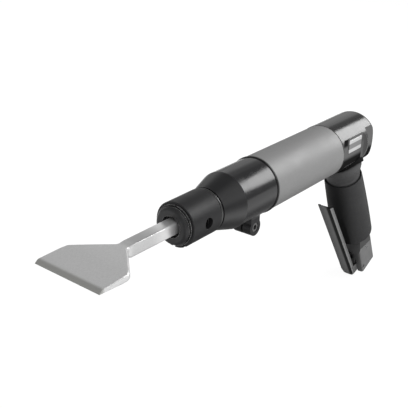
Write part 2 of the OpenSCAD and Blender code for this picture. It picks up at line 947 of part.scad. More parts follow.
module grip_ring() {
    color("#18181a")
        in_handle()
            translate([0, 0, -ring_s])
                rotate_extrude()
                    translate([neck_r + rim_gap - ring_wire_r - seal_back, 0])
                        circle(r = ring_wire_r);
}

// Side of the grip from its rim to its foot, as [station, radius]
function grip_side(s0, s1, n = 6) =
    let (top_r = grip_top_d / 2, foot_r = grip_foot_d / 2)
        [for (i = [0:n]) let (t = i / n)
            [s0 + (s1 - s0) * t, top_r + (foot_r - top_r) * t + 4 * grip_bulge * t * (1 - t)]];

module grip_sleeve() {
    top_r = grip_top_d / 2;
    foot_r = grip_foot_d / 2;
    side = grip_side(grip_start + rim_round, grip_end_s - grip_round);
    slot_floor = lever_off - cheek_depth - groove_gap;
    slot_w = lever_w + 2 * groove_gap;
    color("#1d1d1e")
        difference() {
            in_handle()
                turned_post(concat([[grip_start, neck_r + rim_gap]],
                    arc(grip_start + rim_round, top_r - rim_round, rim_round, 180, 90, 4),
                    [for (i = [1:len(side) - 2]) side[i]],
                    arc(grip_end_s - grip_round, foot_r - grip_round, grip_round, 90, 0, 8),
                    [[grip_end_s, core_r + fit_gap], [neck_end_s + soft_gap, core_r + fit_gap],
                    [neck_end_s + soft_gap, neck_r + rim_gap]]));
            in_lever(lever_closed)
                translate([slot_floor, -slot_w / 2, 0])
                    cube([grip_foot_d, slot_w, grip_len + pivot_s]);
        }
}

module base_gasket() {
    color("#0e0e0f")
        in_handle()
            difference() {
                post(core_end_s + fit_gap, base_s - fit_gap, core_r);
                post(core_end_s, base_s, gasket_in_r);
            }
}

// Wedge that bevels one side of the block towards the grip
module side_bevel(side) {
    half = base_w / 2;
    translate([0, 0, -side_bevel_s])
        rotate([0, side_bevel_tilt, 0])
            rotate([90, 0, 90])
                linear_extrude(height = 2 * base_depth, center = true)
                    polygon([[side * half, 0], [side * (half + cut), 0],
                        [side * (half + cut), side_bevel_len],
                        [side * (half - side_bevel_in), side_bevel_len]]);
}

// The block's main body, with its round corners and its bevels
module base_body() {
    difference() {
        translate([0, 0, -base_end_s])
            linear_extrude(height = base_len)
                round_rect(base_depth, base_w, base_corner);
        rotate([90, 0, 0])
            linear_extrude(height = base_w + 2 * cut, center = true)
                polygon([[base_front_u - bevel_u, -base_s + cut], [base_front_u + cut, -base_s + cut],
                    [base_front_u + cut, -bevel_end_s], [base_front_u, -bevel_end_s],
                    [base_front_u - bevel_u, -bevel_start_s]]);
        side_bevel(1);
        side_bevel(-1);
    }
}

module base_block() {
    slot_w = lever_t + 2 * ear_gap;
    slot_y = lever_w / 2 - lever_t / 2;
    slot_u = pivot_u - ear_r - ear_gap;
    slot_top_s = pivot_s - ear_top_z;
    color("#9fa2a6")
        in_handle()
            difference() {
                union() {
                    base_body();
                    post(base_s - base_spigot_len, base_s + cut, base_spigot_r);
                }
                cross_rod(base_rear_u - cut, seat_front_u, chamber_r);
                cross_rod(seat_front_u - cut, guide_u + cut, outlet_r);
                cross_rod(guide_u, base_front_u + cut, guide_out_r + fit_gap);
                post(base_s - base_spigot_len - cut, valve_s, outlet_hole_r, outlet_u);
                post(valve_s, base_end_s, inlet_hole_r, inlet_u);
                post(base_end_s - inlet_len - strainer_len, base_end_s, strainer_r + fit_gap, inlet_u);
                post(base_end_s - inlet_len, base_end_s + cut, inlet_out_r + fit_gap, inlet_u);
                translate([pivot_u, 0, -pivot_s])
                    rotate([90, 0, 0])
                        cylinder(r = pin_r + fit_gap, h = base_w + 2 * cut, center = true);
                for (side = [-1, 1])
                    translate([slot_u, side * slot_y - slot_w / 2, -base_end_s - cut])
                        cube([base_front_u, slot_w, base_end_s - slot_top_s + cut]);
            }
}

// Channel section of the lever, seen along it
module lever_section() {
    inner_x = lever_off - cheek_depth;
    difference() {
        intersection() {
            translate([inner_x, 0])
                round_rect(2 * cheek_depth, lever_w, lever_edge_r);
            translate([inner_x, -lever_w])
                square([cheek_depth, 2 * lever_w]);
        }
        translate([inner_x - lever_t, 0])
            round_rect(2 * cheek_depth, lever_w - 2 * lever_t, lever_inner_round);
    }
}

// Bent sheet of the lever's foot, from its side
module curl_outline() {
    c = [lever_off - curl_r, curl_z];
    top = curl_z + edge_cut;
    polygon(concat([[lever_off, top]], arc(c[0], c[1], curl_r, 0, -curl_angle, 8),
        arc(c[0], c[1], curl_r - lever_t, -curl_angle, 0, 8), [[lever_off - lever_t, top]]));
}

// Ear that carries the lever on its pin, from its side
module ear_outline() {
    web_x = lever_off - lever_t / 2;
    circle(r = ear_r);
    polygon([[-ear_r * ear_back, ear_r * ear_back], [web_x, ear_top_z], [web_x, curl_z], [0, -ear_r]]);
}

// Plan of the lever from its front, with its round foot
module foot_plan() {
    low_z = curl_z - curl_r;
    side_y = lever_w / 2 - foot_round;
    hull() {
        for (side = [-1, 1])
            translate([side * side_y, low_z + foot_round])
                circle(r = foot_round);
        translate([-lever_w / 2, ear_top_z])
            square([lever_w, lever_top]);
    }
}

// Extrudes a side view of the lever to a width
module from_side(width) {
    rotate([90, 0, 0])
        linear_extrude(height = width, center = true)
            children();
}

module lever() {
    web_x = lever_off - lever_t;
    cheek_x = lever_off - cheek_depth - cut;
    color("#5d6064")
        in_lever(lever_open)
            difference() {
                intersection() {
                    union() {
                        translate([0, 0, curl_z])
                            linear_extrude(height = lever_top - curl_z)
                                lever_section();
                        from_side(lever_w)
                            curl_outline();
                        for (side = [-1, 1])
                            translate([0, side * (lever_w - lever_t) / 2, 0])
                                from_side(lever_t)
                                    ear_outline();
                    }
                    rotate([90, 0, 90])
                        linear_extrude(height = 4 * lever_off, center = true)
                            foot_plan();
                }
                from_side(lever_w + 2 * cut)
                    circle(r = pin_r + run_gap);
                translate([0, 0, lever_top])
                    from_side(lever_w + 2 * cut)
                        polygon([[cheek_x, cut], [web_x, cut], [web_x, 0], [cheek_x, -cheek_depth]]);
            }
}

module lever_pin() {
    color("#c9ccd0")
        in_handle()
            translate([pivot_u, 0, -pivot_s])
                rotate([90, 0, 0])
                    cylinder(r = pin_r, h = base_w - 2 * face_gap, center = true);
}

module throttle_valve() {
    color("#c9ccd0")
        in_handle() {
            cross_rod(head_u - valve_head_t, head_u, valve_head_r);
            cross_rod(head_u - cut, tip_u - stem_r, stem_r);
            translate([tip_u - stem_r, 0, -valve_s])
                rotate([0, 90, 0])
                    sphere(r = stem_r);
        }
}

module throttle_guide() {
    color("#a3873f")
        in_handle()
            difference() {
                union() {
                    cross_rod(guide_u + face_gap, base_front_u + cut, guide_out_r);
                    cross_rod(base_front_u + fit_gap, base_front_u + guide_flange_t, guide_flange_r);
                }
                cross_rod(guide_u - cut, base_front_u + guide_flange_t + cut, stem_r + run_gap);
            }
}

module throttle_seat() {
    color("#a3873f")
        in_handle()
            difference() {
                cross_rod(seat_front_u - seat_t, seat_front_u - fit_gap, chamber_r - fit_gap);
                cross_rod(seat_front_u - seat_t - cut, seat_front_u + cut, seat_bore_r);
            }
}

module throttle_spring() {
    len = head_u - valve_head_t - plug_u - 2 * soft_gap;
    color("#6f7276")
        in_handle()
            translate([plug_u + soft_gap, 0, -valve_s])
                rotate([0, 90, 0])
                    coil(throttle_coil_r, throttle_wire_r, len, throttle_coils);
}

module throttle_plug() {
    groove_u = plug_u - plug_groove_back - plug_groove_w;
    color("#8d9094")
        in_handle()
            difference() {
                cross_rod(base_rear_u + face_gap, plug_u, chamber_r - fit_gap);
                translate([base_rear_u, 0, -valve_s])
                    rotate([0, 90, 0])
                        cylinder(r = plug_hex_r, h = plug_len / 2, $fn = 6);
                difference() {
                    cross_rod(groove_u, groove_u + plug_groove_w, chamber_r + cut);
                    cross_rod(groove_u - cut, plug_u, chamber_r - 2 * (plug_seal_r + seal_back));
                }
            }
}

module plug_seal() {
    color("#18181a")
        in_handle()
            translate([plug_u - plug_groove_back - plug_groove_w / 2, 0, -valve_s])
                rotate([0, 90, 0])
                    rotate_extrude()
                        translate([chamber_r - plug_seal_r - seal_back, 0])
                            circle(r = plug_seal_r);
}

module air_inlet() {
    color("#a3873f")
        in_handle()
            difference() {
                post(base_end_s - inlet_len + fit_gap, base_end_s, inlet_out_r, inlet_u);
                post(base_end_s - inlet_len - cut, base_end_s + cut, inlet_r, inlet_u);
            }
}

module inlet_strainer() {
    top_s = base_end_s - inlet_len - strainer_len + fit_gap;
    foot_s = base_end_s - inlet_len;
    color("#c9ccd0")
        in_handle()
            difference() {
                post(top_s, foot_s, strainer_r, inlet_u);
                post(top_s + strainer_wall, foot_s + cut, strainer_r - strainer_wall, inlet_u);
                for (i = [0:5])
                    translate([inlet_u, 0, 0])
                        rotate([0, 0, i * 60])
                            translate([-inlet_u, 0, 0])
                                post(top_s - cut, foot_s, mesh_hole_r, inlet_u + mesh_ring_r);
            }
}

chisel();
nose_cap();
shank_bush();
chisel_buffer();
wire_ring();
front_housing();
front_seat();
clamp_screw();
clamp_nut();
seam_ring();
outer_sleeve();
front_buffer();
impact_cylinder();
cylinder_seal();
piston();
valve_box();
valve_plate();
valve_cap();
valve_dowels();
damping_spring();
sleeve_seal();
rear_head();
name_plate();
neck_gasket();
handle_core();
grip_ring();
grip_sleeve();
base_gasket();
base_block();
lever();
lever_pin();
throttle_valve();
throttle_guide();
throttle_seat();
throttle_spring();
throttle_plug();
plug_seal();
air_inlet();
inlet_strainer();
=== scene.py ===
"""Finishes, detailed pieces, stage and camera of the pneumatic chipping hammer."""

from math import cos, pi, radians, sin, tau

import bmesh
import bpy
from bpy.props import FloatProperty, FloatVectorProperty, PointerProperty
from mathutils import Matrix, Vector


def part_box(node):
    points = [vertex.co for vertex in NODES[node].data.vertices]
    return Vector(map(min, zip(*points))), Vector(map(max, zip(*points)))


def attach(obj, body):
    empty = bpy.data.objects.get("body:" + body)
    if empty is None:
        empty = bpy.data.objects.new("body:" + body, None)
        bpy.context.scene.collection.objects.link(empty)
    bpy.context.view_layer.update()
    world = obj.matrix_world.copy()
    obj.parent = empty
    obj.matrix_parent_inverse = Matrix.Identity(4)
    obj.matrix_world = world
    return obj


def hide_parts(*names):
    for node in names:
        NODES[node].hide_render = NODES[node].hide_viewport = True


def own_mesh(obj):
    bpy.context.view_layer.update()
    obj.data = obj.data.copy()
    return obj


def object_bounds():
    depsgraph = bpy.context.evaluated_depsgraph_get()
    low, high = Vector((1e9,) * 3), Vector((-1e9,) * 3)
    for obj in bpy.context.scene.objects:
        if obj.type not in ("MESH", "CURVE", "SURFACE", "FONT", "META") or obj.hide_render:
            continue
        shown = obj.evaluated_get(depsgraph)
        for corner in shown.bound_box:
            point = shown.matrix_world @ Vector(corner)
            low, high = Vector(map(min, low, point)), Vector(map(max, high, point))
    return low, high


bl_info = {
    "name": "Chipping hammer looks",
    "version": (1, 0, 0),
    "blender": (4, 5, 0),
    "location": "3D View > Sidebar > Hammer",
    "description": "Builds the chipping hammer's finishes, soft pieces, stage and camera",
    "category": "Object",
}

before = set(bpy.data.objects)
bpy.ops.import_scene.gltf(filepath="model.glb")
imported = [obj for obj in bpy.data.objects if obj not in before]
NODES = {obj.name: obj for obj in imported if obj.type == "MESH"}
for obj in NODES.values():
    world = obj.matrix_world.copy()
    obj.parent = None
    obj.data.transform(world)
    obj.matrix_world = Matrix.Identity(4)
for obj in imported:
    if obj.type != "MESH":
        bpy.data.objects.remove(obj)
CAD_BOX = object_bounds()

# Lengths in metres: X runs along the barrel to the chisel, Y to the name plate's side, Z up
MM = 0.001
BARREL_X = Vector((1, 0, 0))
SIDE_Y = Vector((0, 1, 0))
UP_Z = Vector((0, 0, 1))
HANDLE_TILT = radians(24.4)
HANDLE_TOP = Vector((-177.1 * MM, 0, 0))
HANDLE_ACROSS = Vector((cos(HANDLE_TILT), 0, -sin(HANDLE_TILT)))
HANDLE_DOWN = Vector((-sin(HANDLE_TILT), 0, -cos(HANDLE_TILT)))


def low(node):
    """Lowest corner of a CAD node's box."""
    return Vector(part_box(node)[0])


def high(node):
    """Highest corner of a CAD node's box."""
    return Vector(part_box(node)[1])


# Sizes and colours that a user would change


class ChiselLook(bpy.types.PropertyGroup):
    """Forged chisel"""
    shank_width: FloatProperty(
        name="Shank width", description="Width across the square shank's flats",
        default=12.7 * MM, unit="LENGTH")
    corner_round: FloatProperty(
        name="Corner radius", description="Rounding of the forging's long edges",
        default=1.5 * MM, unit="LENGTH")
    shoulder_round: FloatProperty(
        name="Shoulder radius", description="Rounding of the blade's rear edges",
        default=3.4 * MM, unit="LENGTH")
    neck_fillet: FloatProperty(
        name="Neck fillet", description="Inner radius where the shank meets the blade",
        default=7.0 * MM, unit="LENGTH")
    turn: FloatProperty(
        name="Turn", description="How far the chisel has turned in its bush",
        default=radians(-2.5), unit="ROTATION")
    steel: FloatVectorProperty(
        name="Steel", description="Colour of the satin steel",
        default=(0.69, 0.69, 0.69), subtype="COLOR", size=3)
    ground: FloatVectorProperty(
        name="Ground edge", description="Colour of the dark ground bevel",
        default=(0.50, 0.50, 0.48), subtype="COLOR", size=3)


class BarrelLook(bpy.types.PropertyGroup):
    """Nose, housing, sleeve and head"""
    black_gloss: FloatVectorProperty(
        name="Gloss black", description="Colour of the housing's enamel",
        default=(0.012, 0.012, 0.013), subtype="COLOR", size=3)
    black_satin: FloatVectorProperty(
        name="Satin black", description="Colour of the nose's black oxide",
        default=(0.013, 0.013, 0.014), subtype="COLOR", size=3)
    sleeve_grey: FloatVectorProperty(
        name="Sleeve grey", description="Colour of the blasted sleeve",
        default=(0.27, 0.27, 0.27), subtype="COLOR", size=3)
    head_grey: FloatVectorProperty(
        name="Head grey", description="Colour of the polished head",
        default=(0.06, 0.06, 0.06), subtype="COLOR", size=3)
    plate_grey: FloatVectorProperty(
        name="Plate grey", description="Colour of the bare name plate",
        default=(0.64, 0.64, 0.64), subtype="COLOR", size=3)


class HandleLook(bpy.types.PropertyGroup):
    """Handle, grip, lever and base"""
    rubber: FloatVectorProperty(
        name="Grip rubber", description="Colour of the moulded grip",
        default=(0.037, 0.037, 0.038), subtype="COLOR", size=3)
    neck: FloatVectorProperty(
        name="Neck grey", description="Colour of the cast neck",
        default=(0.062, 0.062, 0.063), subtype="COLOR", size=3)
    lever: FloatVectorProperty(
        name="Lever grey", description="Colour of the coated lever",
        default=(0.12, 0.12, 0.121), subtype="COLOR", size=3)
    base: FloatVectorProperty(
        name="Base grey", description="Colour of the machined base",
        default=(0.33, 0.33, 0.332), subtype="COLOR", size=3)
    grip_voxel: FloatProperty(
        name="Grip mesh", description="Mesh size of the moulded grip",
        default=0.8 * MM, unit="LENGTH")


class StageLook(bpy.types.PropertyGroup):
    """Camera, lamps and floor"""
    azimuth: FloatProperty(
        name="Azimuth", description="Heading of the camera's picture plane",
        default=radians(126.912), unit="ROTATION")
    elevation: FloatProperty(
        name="Elevation", description="Height angle of the camera",
        default=radians(23.34), unit="ROTATION")
    roll: FloatProperty(
        name="Roll", description="Roll of the camera about its view",
        default=radians(1.393), unit="ROTATION")
    lens: FloatProperty(
        name="Lens", description="Focal length for a 36 mm sensor", default=74.05, min=1.0)
    place: FloatVectorProperty(
        name="Camera place", description="Where the camera stands",
        default=(0.687281, 0.449913, 0.329971), subtype="TRANSLATION", size=3)
    key: FloatProperty(
        name="Key lamp", description="Radiance of the large soft box", default=6.0, min=0.0)
    world: FloatProperty(
        name="Room light", description="Strength of the even light all round",
        default=0.75, min=0.0)


class HammerLook(bpy.types.PropertyGroup):
    """All of the hammer's looks"""
    chisel: PointerProperty(type=ChiselLook)
    barrel: PointerProperty(type=BarrelLook)
    handle: PointerProperty(type=HandleLook)
    stage: PointerProperty(type=StageLook)


def look():
    """The scene's settings for this hammer."""
    return bpy.context.scene.hammer_look


# Shader nodes and the groups that several finishes share


def new_group(name, inputs, outputs):
    """An empty shader group with named sockets; inputs are (name, default)."""
    tree = bpy.data.node_groups.new(name, "ShaderNodeTree")
    for label, value in inputs:
        kind = "NodeSocketVector" if isinstance(value, tuple) else "NodeSocketFloat"
        socket = tree.interface.new_socket(label, in_out="INPUT", socket_type=kind)
        socket.default_value = value
    for label, kind in outputs:
        tree.interface.new_socket(label, in_out="OUTPUT", socket_type=kind)
    return tree, tree.nodes.new("NodeGroupInput"), tree.nodes.new("NodeGroupOutput")


def node(tree, kind, **settings):
    """Adds a node and sets its attributes, or its inputs where the name is one."""
    made = tree.nodes.new(kind)
    for key, value in settings.items():
        label = key.replace("_", " ")
        if hasattr(made, key):
            setattr(made, key, value)
        elif label in made.inputs:
            made.inputs[label].default_value = value
        else:
            raise KeyError(f"{kind} has no {key}")
    return made


def math_node(tree, operation, first, second=None):
    """A Math node with sockets or numbers as its inputs."""
    made = node(tree, "ShaderNodeMath", operation=operation)
    for socket, value in zip(made.inputs, (first, second)):
        if value is None:
            continue
        if isinstance(value, (int, float)):
            socket.default_value = value
        else:
            tree.links.new(value, socket)
    return made.outputs[0]


def spread(tree, value, low_in, high_in, low_out=0.0, high_out=1.0, smooth=True):
    """Maps a value from one range to another and stops at its ends."""
    made = tree.nodes.new("ShaderNodeMapRange")
    made.interpolation_type = "SMOOTHSTEP" if smooth else "LINEAR"
    tree.links.new(value, made.inputs["Value"])
    for label, number in (("From Min", low_in), ("From Max", high_in),
                          ("To Min", low_out), ("To Max", high_out)):
        if isinstance(number, (int, float)):
            made.inputs[label].default_value = number
        else:
            tree.links.new(number, made.inputs[label])
    return made.outputs["Result"]


def blend(tree, factor, first, second):
    """Blends two values, each a socket or a number."""
    return spread(tree, factor, 0.0, 1.0, first, second, smooth=False)


def both(tree, first, second):
    """A mask where two masks meet."""
    return math_node(tree, "MULTIPLY", first, second)


def either(tree, first, second):
    """A mask that covers two masks."""
    return math_node(tree, "MAXIMUM", first, second)


def object_place(tree):
    """The place on the object, which moves with it."""
    return tree.nodes.new("ShaderNodeTexCoord").outputs["Object"]


def build_soft_edges():
    """Rounded edges: a normal that rolls over them, and a mask of their edge wear."""
    tree, given, result = new_group(
        "soft edges", [("Radius", 0.0004), ("Breakup", 900.0)],
        [("Wear", "NodeSocketFloat"), ("Normal", "NodeSocketVector")])
    bevel = node(tree, "ShaderNodeBevel", samples=4)
    tree.links.new(given.outputs["Radius"], bevel.inputs["Radius"])
    surface = tree.nodes.new("ShaderNodeNewGeometry")
    dot = node(tree, "ShaderNodeVectorMath", operation="DOT_PRODUCT")
    tree.links.new(bevel.outputs[0], dot.inputs[0])
    tree.links.new(surface.outputs["Normal"], dot.inputs[1])
    turned_away = math_node(tree, "SUBTRACT", 1.0, dot.outputs["Value"])
    mask = spread(tree, turned_away, 0.01, 0.12)
    noise = node(tree, "ShaderNodeTexNoise", Detail=4.0, Roughness=0.7)
    tree.links.new(object_place(tree), noise.inputs["Vector"])
    tree.links.new(given.outputs["Breakup"], noise.inputs["Scale"])
    broken = spread(tree, noise.outputs["Fac"], 0.35, 0.62)
    tree.links.new(both(tree, mask, broken), result.inputs["Wear"])
    tree.links.new(bevel.outputs[0], result.inputs["Normal"])
    return tree


def build_grain():
    """Fine surface grain, drawn out along one direction by its stretch."""
    tree, given, result = new_group(
        "surface grain", [("Scale", 1500.0), ("Stretch", (1.0, 1.0, 1.0))],
        [("Height", "NodeSocketFloat"), ("Mask", "NodeSocketFloat")])
    stretched = node(tree, "ShaderNodeVectorMath", operation="MULTIPLY")
    tree.links.new(object_place(tree), stretched.inputs[0])
    tree.links.new(given.outputs["Stretch"], stretched.inputs[1])
    fine = node(tree, "ShaderNodeTexNoise", Detail=3.0, Roughness=0.6)
    tree.links.new(stretched.outputs[0], fine.inputs["Vector"])
    tree.links.new(given.outputs["Scale"], fine.inputs["Scale"])
    tree.links.new(fine.outputs["Fac"], result.inputs["Height"])
    tree.links.new(spread(tree, fine.outputs["Fac"], 0.3, 0.7), result.inputs["Mask"])
    return tree


def build_handling():
    """Broad smudges of handling, as a value between two limits."""
    tree, given, result = new_group(
        "handling marks", [("Scale", 35.0), ("Low", 0.3), ("High", 0.4)],
        [("Value", "NodeSocketFloat")])
    broad = node(tree, "ShaderNodeTexNoise", Detail=5.0, Roughness=0.62, Distortion=0.6)
    tree.links.new(object_place(tree), broad.inputs["Vector"])
    tree.links.new(given.outputs["Scale"], broad.inputs["Scale"])
    mask = spread(tree, broad.outputs["Fac"], 0.32, 0.68)
    tree.links.new(blend(tree, mask, given.outputs["Low"], given.outputs["High"]),
                   result.inputs["Value"])
    return tree


GROUPS = {}


def group(name):
    """The shared group of that name, built when it is first used."""
    builders = {"edges": build_soft_edges, "grain": build_grain, "handling": build_handling}
    if name not in GROUPS:
        GROUPS[name] = builders[name]()
    return GROUPS[name]


def place_group(tree, name, **values):
    """A shared group in a material, with the material's own values."""
    made = tree.nodes.new("ShaderNodeGroup")
    made.node_tree = group(name)
    for label, value in values.items():
        made.inputs[label].default_value = value
    return made


def mix_colour(tree, factor, first, second):
    """Blends two colours, each a socket or an RGB triple."""
    made = tree.nodes.new("ShaderNodeMix")
    made.data_type = "RGBA"
    tree.links.new(factor, made.inputs["Factor"])
    for socket, value in ((made.inputs[6], first), (made.inputs[7], second)):
        if isinstance(value, bpy.types.NodeSocket):
            tree.links.new(value, socket)
        else:
            socket.default_value = (*value, 1.0)
    return made.outputs[2]


def grey(value):
    """A neutral colour."""
    return (value, value, value)


class Finish:
    """A material under way: its tree, its shader and the sockets that later steps change."""

    def __init__(self, name, colour, metallic=0.0, roughness=(0.35, 0.45), grain=(1500.0, 0.00002),
                 stretch=(1.0, 1.0, 1.0), edge=0.0004, wear_and_highlight=None, tone=0.12, marks=35.0):
        """Grain is its scale and depth, marks the smudges' scale, tone the grain's contrast."""
        scale, depth = grain
        self.material = bpy.data.materials.new(name)
        self.material.use_nodes = True
        tree = self.tree = self.material.node_tree
        self.shader = tree.nodes["Principled BSDF"]
        self.set("Metallic", metallic)
        handling = place_group(tree, "handling", Scale=marks, Low=roughness[0], High=roughness[1])
        fine = place_group(tree, "grain", Scale=scale, Stretch=stretch)
        edges = place_group(tree, "edges", Radius=edge)
        self.rough = handling.outputs["Value"]
        darker = tuple(c * (1 - tone) for c in colour)
        lighter = tuple(c * (1 + tone) for c in colour)
        self.colour = mix_colour(tree, fine.outputs["Mask"], darker, lighter)
        if wear_and_highlight:
            self.tint(edges.outputs["Wear"], wear_and_highlight)
        bump = node(tree, "ShaderNodeBump", Strength=1.0, Distance=depth)
        tree.links.new(fine.outputs["Height"], bump.inputs["Height"])
        tree.links.new(edges.outputs["Normal"], bump.inputs["Normal"])
        self.feed("Normal", bump.outputs[0])

    def set(self, label, value):
        """Sets one of the shader's own sockets."""
        self.shader.inputs[label].default_value = value

    def feed(self, label, value):
        """Links a value to one of the shader's own sockets."""
        self.tree.links.new(value, self.shader.inputs[label])

    def tint(self, mask, colour):
        """Lays a colour over the finish where the mask is."""
        self.colour = mix_colour(self.tree, mask, self.colour, colour)

    def roughen(self, mask, roughness):
        """Gives the finish another roughness where the mask is."""
        self.rough = blend(self.tree, mask, self.rough, roughness)

    def done(self):
        """Links colour and roughness to the shader, and returns the material."""
        self.feed("Base Color", self.colour)
        self.feed("Roughness", self.rough)
        return self.material


def along(tree, axis):
    """Distance along one row axis, in metres."""
    parts = tree.nodes.new("ShaderNodeSeparateXYZ")
    tree.links.new(object_place(tree), parts.inputs[0])
    return parts.outputs[axis]


def from_barrel(tree):
    """Distance from the barrel's axis, in metres."""
    flat = node(tree, "ShaderNodeVectorMath", operation="MULTIPLY")
    tree.links.new(object_place(tree), flat.inputs[0])
    flat.inputs[1].default_value = (0, 1, 1)
    length = node(tree, "ShaderNodeVectorMath", operation="LENGTH")
    tree.links.new(flat.outputs[0], length.inputs[0])
    return length.outputs["Value"]


def facing(tree, direction):
    """How far the surface faces a fixed direction of the object, from -1 to 1."""
    coord = tree.nodes.new("ShaderNodeTexCoord")
    dot = node(tree, "ShaderNodeVectorMath", operation="DOT_PRODUCT")
    tree.links.new(coord.outputs["Normal"], dot.inputs[0])
    dot.inputs[1].default_value = direction
    return dot.outputs["Value"]


def streak(tree, turn, width):
    """A mask along the barrel, with its turn from the top and its width as angles in degrees."""
    turned = facing(tree, (0, sin(radians(turn)), cos(radians(turn))))
    return spread(tree, turned, cos(radians(width)), cos(radians(width / 4)))


# Meshes


def new_object(name, data):
    """An object in the scene."""
    made = bpy.data.objects.new(name, data)
    bpy.context.scene.collection.objects.link(made)
    return made


def add_piece(name, points, faces, crease=radians(35)):
    """A mesh object with smooth faces and sharp creases."""
    mesh = bpy.data.meshes.new(name)
    mesh.from_pydata([tuple(p) for p in points], [], faces)
    piece = new_object(name, mesh)
    tidy_mesh(piece, crease)
    return piece


def tidy_mesh(piece, crease):
    """Outward faces, smooth shading, sharp edges over the crease angle, and flats kept flat."""
    work = bmesh.new()
    work.from_mesh(piece.data)
    bmesh.ops.recalc_face_normals(work, faces=work.faces)
    for face in work.faces:
        face.smooth = True
    for edge in work.edges:
        edge.smooth = len(edge.link_faces) == 2 and edge.calc_face_angle() < crease
    work.to_mesh(piece.data)
    work.free()
    weights = piece.modifiers.new("flats", "WEIGHTED_NORMAL")
    weights.keep_sharp = True


def loft(sections):
    """Points and faces of a skin over closed sections of equal count, capped at both ends."""
    count = len(sections[0])
    points = [p for section in sections for p in section]
    faces = []
    for s in range(len(sections) - 1):
        for k in range(count):
            a, b = s * count + k, s * count + (k + 1) % count
            faces.append((a, b, b + count, a + count))
    faces.append(tuple(range(count)))
    faces.append(tuple(range(len(points) - 1, len(points) - 1 - count, -1)))
    return points, faces


def ring_sections(profile, centre, axis, side, count):
    """Sections about an axis from a profile of (distance along, radius)."""
    other = axis.cross(side)
    return [[centre + axis * d + (side * cos(tau * k / count) + other * sin(tau * k / count)) * r
             for k in range(count)] for d, r in profile]


def corner_arcs(centres, radius, steps=6):
    """Points round four corners, from their arcs' centres in the order of the quadrants."""
    return [(u + radius * cos(a), v + radius * sin(a))
            for (u, v), start in zip(centres, (0, 90, 180, 270))
            for a in (radians(start + 90 * k / steps) for k in range(steps + 1))]


def rounded_box_section(x, near_w, far_w, top, bottom, r):
    """A section across X with rounded corners, from its two half widths, its top and bottom."""
    r = min(r, near_w * 0.98, (top - bottom) * 0.49)
    centres = ((near_w - r, top - r), (r - far_w, top - r),
               (r - far_w, bottom + r), (near_w - r, bottom + r))
    return [Vector((x, y, z)) for y, z in corner_arcs(centres, r)]


def dress(piece, body, slot, material, *nodes):
    """Lets a piece ride on its body with its finish, in the place of CAD nodes."""
    piece.data.materials.clear()
    piece.data.materials.append(material)
    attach(piece, body)
    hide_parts(*nodes)


def coat(material, *names):
    """Gives CAD nodes a finish."""
    for name in names:
        shell = NODES[name]
        if not shell.material_slots:
            shell.data.materials.append(material)
        for held in shell.material_slots:
            held.material = material


def soften(name, source, voxel, smoothing):
    """A moulded copy of a CAD solid: remeshed and relaxed, so its edges are round."""
    piece = new_object(name, NODES[source].data.copy())
    for modifier, kind, settings in (
            ("weld", "WELD", {"merge_threshold": 0.01 * MM}),
            ("voxels", "REMESH", {"mode": "VOXEL", "voxel_size": voxel, "use_smooth_shade": True}),
            ("relax", "SMOOTH", {"factor": 0.5, "iterations": smoothing})):
        made = piece.modifiers.new(modifier, kind)
        for key, value in settings.items():
            setattr(made, key, value)
    solved = piece.evaluated_get(bpy.context.evaluated_depsgraph_get())
    shaped = bpy.data.meshes.new_from_object(solved)
    piece.modifiers.clear()
    piece.data = shaped
    for face in piece.data.polygons:
        face.use_smooth = True
    return piece


def round_foot(mesh):
    """Draws the sides of the lever's foot in to a round end, cut finely enough to bend."""
    cuts, step, tuck = 7, MM, 1.6 * MM
    sheet_out, last_share = 18 * MM, 0.95
    half = max(v.co.y for v in mesh.vertices)
    end = max((v.co - HANDLE_TOP).dot(HANDLE_DOWN) for v in mesh.vertices)
    middle = end - half - tuck
    work = bmesh.new()
    work.from_mesh(mesh)
    for k in range(cuts):
        bmesh.ops.bisect_plane(
            work, geom=work.verts[:] + work.edges[:] + work.faces[:],
            plane_co=HANDLE_TOP + HANDLE_DOWN * (middle + k * step), plane_no=HANDLE_DOWN)
    for vertex in work.verts:
        down = (vertex.co - HANDLE_TOP).dot(HANDLE_DOWN) - middle
        out = (vertex.co - HANDLE_TOP).dot(HANDLE_ACROSS)
        if down > 0 and out > sheet_out:
            vertex.co.y *= (1 - min(last_share, down / half) ** 2) ** 0.5
    work.to_mesh(mesh)
    work.free()


def smooth_coil(name, centre, axis, side, mean_r, wire_r, length, turns, sides=10):
    """A wound spring whose end turns lie flat and close."""
    steps, closed_turns = 24, 0.55
    other = axis.cross(side)
    count = int(turns * steps)
    flat = closed_turns / turns
    points, faces = [], []
    for i in range(count + 1):
        turn = i / steps
        share = i / count
        if share < flat:
            rise = share * share / (2 * flat)
        elif share > 1 - flat:
            rise = 1 - flat - (1 - share) ** 2 / (2 * flat)
        else:
            rise = share - flat / 2
        rise = rise / (1 - flat)
        middle = wire_r + (length - 2 * wire_r) * rise
        radial = side * cos(tau * turn) + other * sin(tau * turn)
        for k in range(sides):
            a = tau * k / sides
            points.append(centre + radial * (mean_r + wire_r * cos(a))
                          + axis * (middle + wire_r * sin(a)))
    for i in range(count):
        for k in range(sides):
            a, b = i * sides + k, i * sides + (k + 1) % sides
            faces.append((a, b, b + sides, a + sides))
    faces.append(tuple(range(sides)))
    faces.append(tuple(range(count * sides + sides - 1, count * sides - 1, -1)))
    return add_piece(name, points, faces, radians(60))


# Finishes


